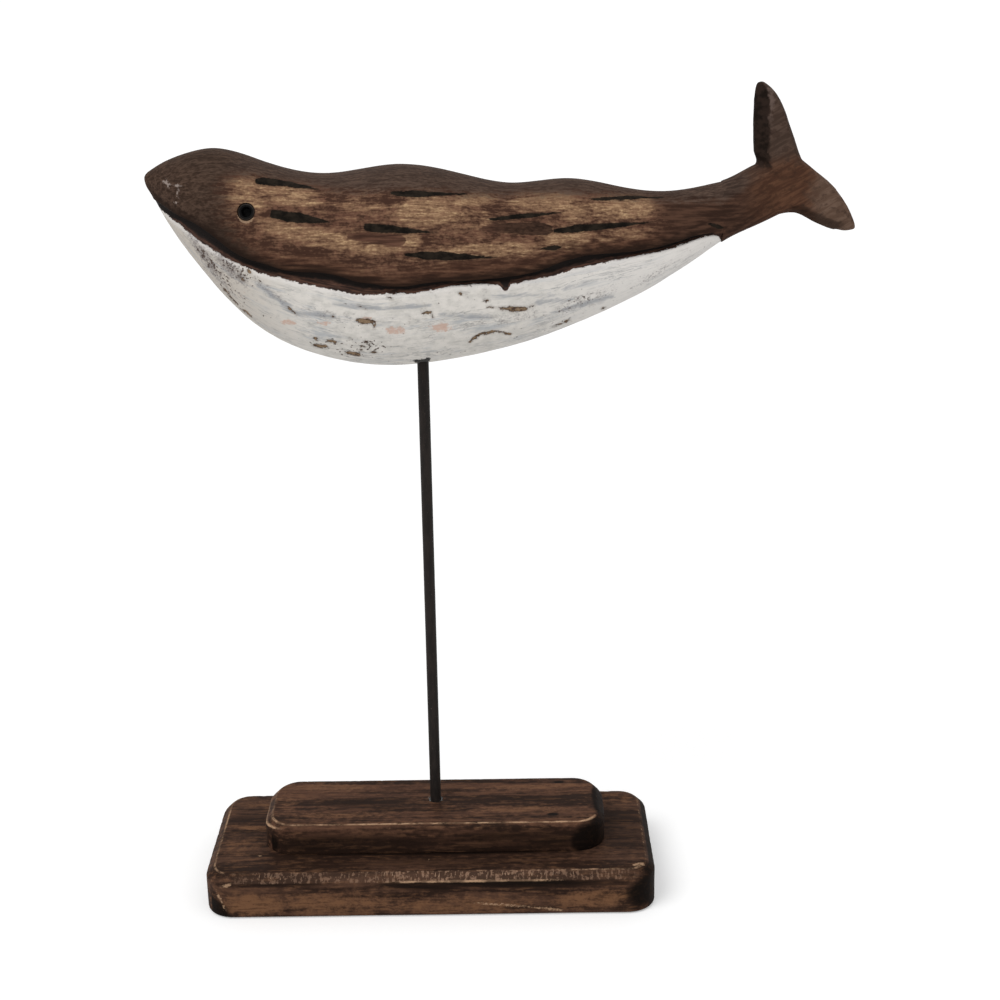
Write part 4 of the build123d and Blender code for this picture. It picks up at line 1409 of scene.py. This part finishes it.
def board_tree():
    """Tree of a board with rounded corners, an eased foot, a worn chamfer and a slightly uneven skin."""
    numbers = (
        "Length", "Depth", "Thickness", "Corner Radius", "Top Chamfer", "End Chamfer", "Foot Ease",
        "Unevenness", "Nicks", "Seed",
    )
    tree, root, size = new_tree(
        "worn_board", numbers, {"Middle": "NodeSocketVector", "Material": "NodeSocketMaterial"},
    )
    sheet = root.node("GeometryNodeMeshGrid", {}, {
        "Size X": 1.0, "Size Y": 1.0, "Vertices X": points_around_board + 1, "Vertices Y": ring_last + 1,
    })
    place = root.node("GeometryNodeInputPosition")
    sheet_x, sheet_y, _ = split(place)
    ring = (sheet_y + 0.5) * ring_last
    sheet = root.node("GeometryNodeStoreNamedAttribute", {"data_type": "FLOAT", "domain": "POINT"}, {
        "Geometry": sheet, "Name": "ring", "Value": ring,
    })
    outline = root.node("GeometryNodeCurvePrimitiveQuadrilateral", {"mode": "RECTANGLE"}, {
        "Width": size["Length"], "Height": size["Depth"],
    })
    outline = root.node("GeometryNodeFilletCurve", {"mode": "POLY"}, {
        "Curve": outline, "Count": 14, "Radius": size["Corner Radius"], "Limit Radius": True,
    })
    spot = root.node("GeometryNodeSampleCurve", {"mode": "FACTOR", "use_all_curves": True}, {
        "Curves": outline, "Factor": sheet_x + 0.5,
    }, output="Position")
    x, y, _ = split(spot)
    corner = size["Corner Radius"]
    out_x = (x - held_within(x, size["Length"] / 2 - corner)) / corner
    out_y = (y - held_within(y, size["Depth"] / 2 - corner)) / corner
    spine_x = held_within(x, (size["Length"] - size["Depth"]) / 2)
    chamfer = size["Top Chamfer"] + (size["End Chamfer"] - size["Top Chamfer"]) * out_x * out_x
    foot = ramp(ring, ring_foot, ring_side)
    side = ramp(ring, ring_side, ring_chamfer)
    slope = ramp(ring, ring_chamfer, ring_top)
    inset = size["Foot Ease"] * (1 - foot) + chamfer * slope
    wall = size["Thickness"] - size["Foot Ease"] - chamfer
    height = size["Foot Ease"] * foot + wall * side + chamfer * slope
    shrink = (1 - ramp(ring, 0.0, ring_foot) + ramp(ring, ring_top, ring_last)) * 0.97
    board_x = (x - out_x * inset) * (1 - shrink) + spine_x * shrink
    board_y = (y - out_y * inset) * (1 - shrink)
    point = root.node("ShaderNodeCombineXYZ", {}, {0: board_x, 1: board_y, 2: height})
    point = root.node("ShaderNodeVectorMath", {"operation": "ADD"}, {0: point, 1: size["Middle"]})
    board = root.node("GeometryNodeSetPosition", {}, {"Geometry": sheet, "Position": point})
    board = root.node("GeometryNodeMergeByDistance", {}, {"Geometry": board, "Distance": 0.01 * MM})
    soft = root.node("GeometryNodeBlurAttribute", {"data_type": "FLOAT_VECTOR"}, {
        "Value": place, "Iterations": 2,
    })
    board = root.node("GeometryNodeSetPosition", {}, {"Geometry": board, "Position": soft})
    ring = root.node("GeometryNodeInputNamedAttribute", {"data_type": "FLOAT"}, {"Name": "ring"})
    shift = root.node("ShaderNodeCombineXYZ", {}, {0: size["Seed"], 1: size["Seed"], 2: size["Seed"]})
    moved = root.node("ShaderNodeVectorMath", {"operation": "SCALE"}, {0: place, "Scale": 1 / MM})
    moved = root.node("ShaderNodeVectorMath", {"operation": "ADD"}, {0: moved, 1: shift})
    swell = grains(moved, (0.03, 0.06, 0.09), 2.0, 0.5) - 0.5
    nick = between(grains(moved, (0.22, 0.3, 0.5), 3.0, 0.6), 0.52, 0.72)
    on_edge = larger(1 - ramp(abs(ring - ring_chamfer), 0.0, 3.0), 1 - ramp(abs(ring - ring_top), 0.0, 2.0))
    shallow = swell * size["Unevenness"] * ramp(ring, ring_foot, ring_side) - nick * on_edge * size["Nicks"]
    way = root.node("GeometryNodeInputNormal")
    offset = root.node("ShaderNodeVectorMath", {"operation": "SCALE"}, {0: way, "Scale": shallow})
    board = root.node("GeometryNodeSetPosition", {}, {"Geometry": board, "Offset": offset})
    board = root.node("GeometryNodeRealizeInstances", {}, {"Geometry": board})
    board = root.node("GeometryNodeSetMaterial", {}, {"Geometry": board, "Material": size["Material"]})
    root.node("NodeGroupOutput", {}, {"Shape": board})
    return tree


def bar_mesh(x, y, low, high, radius):
    """Mesh of an upright round bar."""
    return solid_skin(turned_rings([(radius, low), (radius, high)], 40) + (x, y, 0))


def cut_holes(mesh, holes):
    """Mesh with upright round holes cut out of it."""
    block = new_object("block", mesh)
    cutters = []
    for hole in holes:
        cutter = new_object("cutter", bar_mesh(*hole))
        cut = block.modifiers.new("hole", "BOOLEAN")
        cut.operation = "DIFFERENCE"
        cut.solver = "EXACT"
        cut.object = cutter
        cutters.append(cutter)
    result = evaluated_mesh(block)
    for cutter in cutters:
        bpy.data.objects.remove(cutter)
    return result


def board_fields(mesh, low, high, form, marks):
    """Store where a board is golden, dark, rubbed, bitten and scratched."""
    _, chamfer, _, foot_ease = form
    points = mesh_points(mesh)
    x, y, z = points.T
    ring = np.empty(len(points))
    mesh.attributes["ring"].data.foreach_get("value", ring)
    cut = ring < 0.5
    ring = np.where(cut & (z > (low[2] + high[2]) / 2), float(ring_last), ring)
    slope_step = math.hypot(chamfer, chamfer) / (ring_top - ring_chamfer)
    wall_step = (high[2] - low[2] - foot_ease - chamfer) / (ring_chamfer - ring_side)
    top_step = (high[1] - low[1] - 2 * chamfer) / 2 / (ring_last - ring_top)
    on_top = ring > ring_top - 3
    on_front = (y < low[1] + 4.0) & ~on_top
    front_edge = ease(low[1] + 6.0 - y, 0.0, 2.0)

    def place(name):
        """Strength of the marks of a kind on the top and the front."""
        top = patch_strength(x, y, marks["top_" + name])
        front = patch_strength(x, z, marks["front_" + name])
        return np.where(on_top, top, np.where(on_front, front, 0.0))

    sides = np.stack([x - low[0], high[0] - x, y - low[1], high[1] - y])
    amounts = np.array([marks["rub_and_highlight"][side] for side in ("left", "right", "front", "back")])
    nearness = np.exp(-np.maximum(sides, 0.0) / 4.0)
    rub_and_highlight = (amounts[:, None] * nearness).sum(axis=0) / nearness.sum(axis=0)
    ends = ease(np.minimum(high[0] - x, high[1] - y), 14.0, 4.0)
    dark = place("dark")
    scratch = stroke_distance(x, z, marks["scratches"], spindle)
    top_scratch = stroke_distance(x, y, marks["top_scratches"], spindle)
    busy = patch_strength(x, z, [marks["busy"]])
    from_rod = np.hypot(x, y - whale_y)
    glue = np.abs(from_rod - rod_mouth_radius - 0.4) + 0.8 * ease(x - (y - whale_y), -1.0, 4.0)
    from_top = ring - ring_top
    from_chamfer = ring - ring_chamfer
    add_fields(mesh, {
        "edge": from_top * np.where(from_top < 0, slope_step, top_step),
        "slope": from_chamfer * np.where(from_chamfer < 0, wall_step, slope_step),
        "gold": place("gold"),
        # Painted shade: the ends and back darken towards the right end, away from the key light.
        "dark": np.maximum(dark, np.where(on_top | on_front, 0.0, 0.8 * ease(x, 0.0, high[0]))),
        "rub_and_highlight": rub_and_highlight + 0.3 * ease(x, 30.0, 60.0) * (y < low[1] + 5.0),
        "rub_low_and_highlight": patch_strength(x, z, [marks["rub_low_and_highlight"]]) + 0.25 * (1 - ends),
        "scratch": np.where(on_front, scratch, np.where(on_top, top_scratch, 9.0)),
        "chatter": front_edge * marks["chatter"] * (0.55 + 0.45 * busy) * ease(84.0 - np.abs(x), 0.0, 16.0),
        "glue": np.where(on_top & (from_rod < 9.0), glue, 9.0),
    })


def build_board(name, tree, low, high, form, shift, seed, holes, marks, material):
    """A board of the base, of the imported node's size."""
    corner, chamfer, end_chamfer, foot_ease = form
    values = {
        "Length": (high[0] - low[0]) * MM,
        "Depth": (high[1] - low[1]) * MM,
        "Thickness": (high[2] - low[2]) * MM,
        "Corner Radius": corner * MM,
        "Top Chamfer": chamfer * MM,
        "End Chamfer": end_chamfer * MM,
        "Foot Ease": foot_ease * MM,
        "Unevenness": unevenness * MM,
        "Nicks": nick_depth * MM,
        "Seed": seed,
        "Middle": (((low[0] + high[0]) / 2 + shift) * MM, (low[1] + high[1]) / 2 * MM, low[2] * MM),
        "Material": material,
    }
    mesh = grown_mesh(tree, values)
    mesh.transform(Matrix.Scale(1 / MM, 4))
    with editing(mesh) as shape:
        bmesh.ops.holes_fill(shape, edges=[edge for edge in shape.edges if edge.is_boundary])
        bmesh.ops.recalc_face_normals(shape, faces=shape.faces)
    mesh = cut_holes(mesh, holes)
    board_fields(mesh, low, high, form, marks)
    return make_object(name, mesh, material, smooth_angle=40)


def sliver_tree():
    """Tree of small torn slivers in a row along a chamfer."""
    numbers = ("Pitch", "Sliver Length", "Sliver Width", "Sliver Height", "Slope")
    tree, root, size = new_tree("chatter_slivers", numbers, {
        "Start": "NodeSocketVector", "End": "NodeSocketVector", "Seed": "NodeSocketInt",
        "Material": "NodeSocketMaterial",
    })

    def chosen(low, high):
        """Number that differs from sliver to sliver."""
        inputs = {2: low, 3: high, "Seed": size["Seed"]}
        return root.node("FunctionNodeRandomValue", {"data_type": "FLOAT"}, inputs, output=1)

    row = root.node("GeometryNodeCurvePrimitiveLine", {"mode": "POINTS"}, {
        "Start": size["Start"], "End": size["End"],
    })
    row = root.node("GeometryNodeCurveToPoints", {"mode": "LENGTH"}, {"Curve": row, "Length": size["Pitch"]})
    chance = root.node("FunctionNodeRandomValue", {"data_type": "BOOLEAN"}, {
        "Probability": 0.3, "Seed": size["Seed"],
    }, output=3)
    row = root.node("GeometryNodeDeleteGeometry", {"domain": "POINT"}, {
        "Geometry": row, "Selection": chance,
    })
    scatter = root.node("FunctionNodeRandomValue", {"data_type": "FLOAT_VECTOR"}, {
        0: (-0.0006, -0.0005, -0.0005), 1: (0.0006, 0.0005, 0.0005), "Seed": size["Seed"],
    })
    row = root.node("GeometryNodeSetPosition", {}, {"Geometry": row, "Offset": scatter})
    sliver = root.node("GeometryNodeMeshCone", {"fill_type": "TRIANGLE_FAN"}, {
        "Vertices": 7, "Side Segments": 3, "Radius Top": 0.15, "Radius Bottom": 0.5, "Depth": 1.0,
    })
    growth = chosen(0.4, 1.1)
    scale = root.node("ShaderNodeCombineXYZ", {}, {
        0: size["Sliver Width"] * growth, 1: size["Sliver Height"], 2: size["Sliver Length"] * growth,
    })
    lean = chosen(-0.25, 0.25)
    turn = root.node("ShaderNodeCombineXYZ", {}, {0: size["Slope"], 1: lean, 2: 0.0})
    slivers = root.node("GeometryNodeInstanceOnPoints", {}, {
        "Points": row, "Instance": sliver, "Rotation": turn, "Scale": scale,
    })
    slivers = root.node("GeometryNodeRealizeInstances", {}, {"Geometry": slivers})
    slivers = root.node("GeometryNodeSetMaterial", {}, {"Geometry": slivers, "Material": size["Material"]})
    root.node("NodeGroupOutput", {}, {"Shape": slivers})
    return tree


def build_slivers(material):
    """Torn slivers along the front chamfer of the lower board, left by a chattering cutter."""
    middle = board_shape[1] / 2
    bedding = 0.1
    front = board_low[1] + middle - bedding
    level = board_high[2] - middle - bedding
    start, end = chatter_row
    mesh = grown_mesh(sliver_tree(), {
        "Pitch": chatter_pitch * MM,
        "Sliver Length": sliver_length * MM,
        "Sliver Width": sliver_width * MM,
        "Sliver Height": sliver_height * MM,
        "Slope": math.radians(-45),
        "Start": (start * MM, front * MM, level * MM),
        "End": (end * MM, front * MM, level * MM),
        "Seed": chatter_seed,
        "Material": material,
    })
    return place_object("chamfer_slivers", mesh, material, smooth_angle=40)


# Pieces of the whale, the rod and the base

eye_metal = rivet_finish()
screw_metal = screw_finish()
pieces = [
    (build_back(back_finish()), "whale", "whale_back", "back_stain"),
    (build_belly(belly_finish()), "whale", "whale_belly", "belly_paint"),
    (build_tail(tail_finish()), "whale", "whale_tail", "tail_stain"),
    (build_eye("left_eye", 1, eye_metal), "whale", "left_eye", "eye_metal"),
    (build_eye("right_eye", -1, eye_metal), "whale", "right_eye", "eye_metal"),
    (build_rod(rod_finish()), "rod", "support_rod", "rod_black"),
]
tree = board_tree()
board_material = board_finish("oiled_board", tone(42, 29, 23), tone(80, 57, 45), tone(118, 84, 60))
plinth_material = board_finish("oiled_plinth", tone(42, 29, 23), tone(86, 60, 47), tone(116, 83, 61))
screw_y = (screw_low[1] + screw_high[1]) / 2
board_holes = [
    (screw_x, screw_y, board_low[2] - 1.0, board_low[2] + screw_recess, screw_head_radius)
    for screw_x in (screw_low[0] + screw_inset, screw_high[0] - screw_inset)
]
plinth_holes = [
    (0.0, whale_y, plinth_high[2] - rod_mouth_depth, plinth_high[2] + 1.0, rod_mouth_radius),
    (0.0, whale_y, plinth_low[2] - 1.0, plinth_high[2] - 0.5, rod_hole_radius),
]
board = build_board(
    "worn_board", tree, board_low, board_high, board_shape, board_shift, board_seed,
    board_holes, board_marks, board_material,
)
plinth = build_board(
    "worn_plinth", tree, plinth_low, plinth_high, plinth_shape, 0.0, plinth_seed,
    plinth_holes, plinth_marks, plinth_material,
)
pieces += [(board, "stand", "lower_board", "board_stain"), (plinth, "stand", "upper_plinth", "plinth_stain")]
for piece, body, node, slot in pieces:
    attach(piece, body)
    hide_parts(node)
slivers = build_slivers(sliver_finish())
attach(slivers, "stand")
for node, material in (("plinth_screws", screw_metal), ("tail_dowel", dowel_finish())):
    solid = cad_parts[node]
    solid.data.materials.clear()
    solid.data.materials.append(material)


# Floor, light and camera

def direct_view(root):
    """One where the camera sees a surface itself, in a mirror or through glass."""
    rays = root.node("ShaderNodeLightPath").socket.node.outputs
    seen, mirrored, through = [
        Wire(root.tree, rays[name]) for name in ("Is Camera Ray", "Is Glossy Ray", "Is Transmission Ray")
    ]
    return larger(larger(seen, mirrored), through)


def floor_finish():
    """White floor that takes the object's shadow and shows as a white background."""
    material = bpy.data.materials.new("white_floor")
    root = cleared(material)
    matt = root.node("ShaderNodeBsdfDiffuse", {}, {"Color": (0.86, 0.86, 0.86, 1.0)})
    seen = direct_view(root)
    glow = root.node("ShaderNodeEmission", {}, {"Color": (1.0, 1.0, 1.0, 1.0), "Strength": seen * 0.3})
    both = root.node("ShaderNodeAddShader", {}, {0: matt, 1: glow})
    root.node("ShaderNodeOutputMaterial", {}, {"Surface": both})
    return material


floor_level = -0.03 * MM
floor_half = 15
floor_mesh = bpy.data.meshes.new("floor")
floor_corners = [(x * floor_half, y * floor_half) for x, y in ((-1, -1), (1, -1), (1, 1), (-1, 1))]
floor_mesh.from_pydata([(x, y, floor_level) for x, y in floor_corners], [], [(0, 1, 2, 3)])
floor_mesh.materials.append(floor_finish())
floor = new_object("floor", floor_mesh)

world = bpy.data.worlds.new("soft_room")
sky = cleared(world)
light = sky.node("ShaderNodeBackground", {}, {
    "Color": (1.0, 1.0, 1.0, 1.0), "Strength": 0.5 + direct_view(sky) * 0.5,
})
sky.node("ShaderNodeOutputWorld", {}, {"Surface": light})
bpy.context.scene.world = world


def add_sun(name, origin, strength, spread):
    """Soft far light that shines from the given side."""
    lamp = bpy.data.lights.new(name, "SUN")
    lamp.energy = strength
    lamp.angle = math.radians(spread)
    new_object(name, lamp).rotation_euler = Vector(origin).to_track_quat("Z", "Y").to_euler()


add_sun("key_light", (-0.75, -0.7, 1.15), 1.35, 38)
add_sun("fill_light", (0.5, -0.6, 0.9), 0.35, 60)

camera_place = Vector((30.2, -637.0, 372.6)) * MM
camera_pitch, camera_yaw, camera_roll = math.radians(18.47), math.radians(-0.2), math.radians(-0.88)
camera_focus = 1760.0
image_size = 1000.0
sensor_width = 36.0

ahead = Vector((
    math.sin(camera_yaw) * math.cos(camera_pitch),
    math.cos(camera_yaw) * math.cos(camera_pitch),
    -math.sin(camera_pitch),
))
right = ahead.cross(Vector((0, 0, 1))).normalized()
above = right.cross(ahead)
tilted_right = math.cos(camera_roll) * right + math.sin(camera_roll) * above
tilted_above = math.cos(camera_roll) * above - math.sin(camera_roll) * right
camera_data = bpy.data.cameras.new("camera")
camera_data.sensor_width = sensor_width
camera_data.lens = camera_focus * sensor_width / image_size
camera_data.clip_start = 0.01
camera = new_object("camera", camera_data)
turned = Matrix((tilted_right, tilted_above, -ahead)).transposed().to_4x4()
camera.matrix_world = Matrix.Translation(camera_place) @ turned
bpy.context.scene.camera = camera
bpy.context.scene.view_settings.view_transform = "Standard"
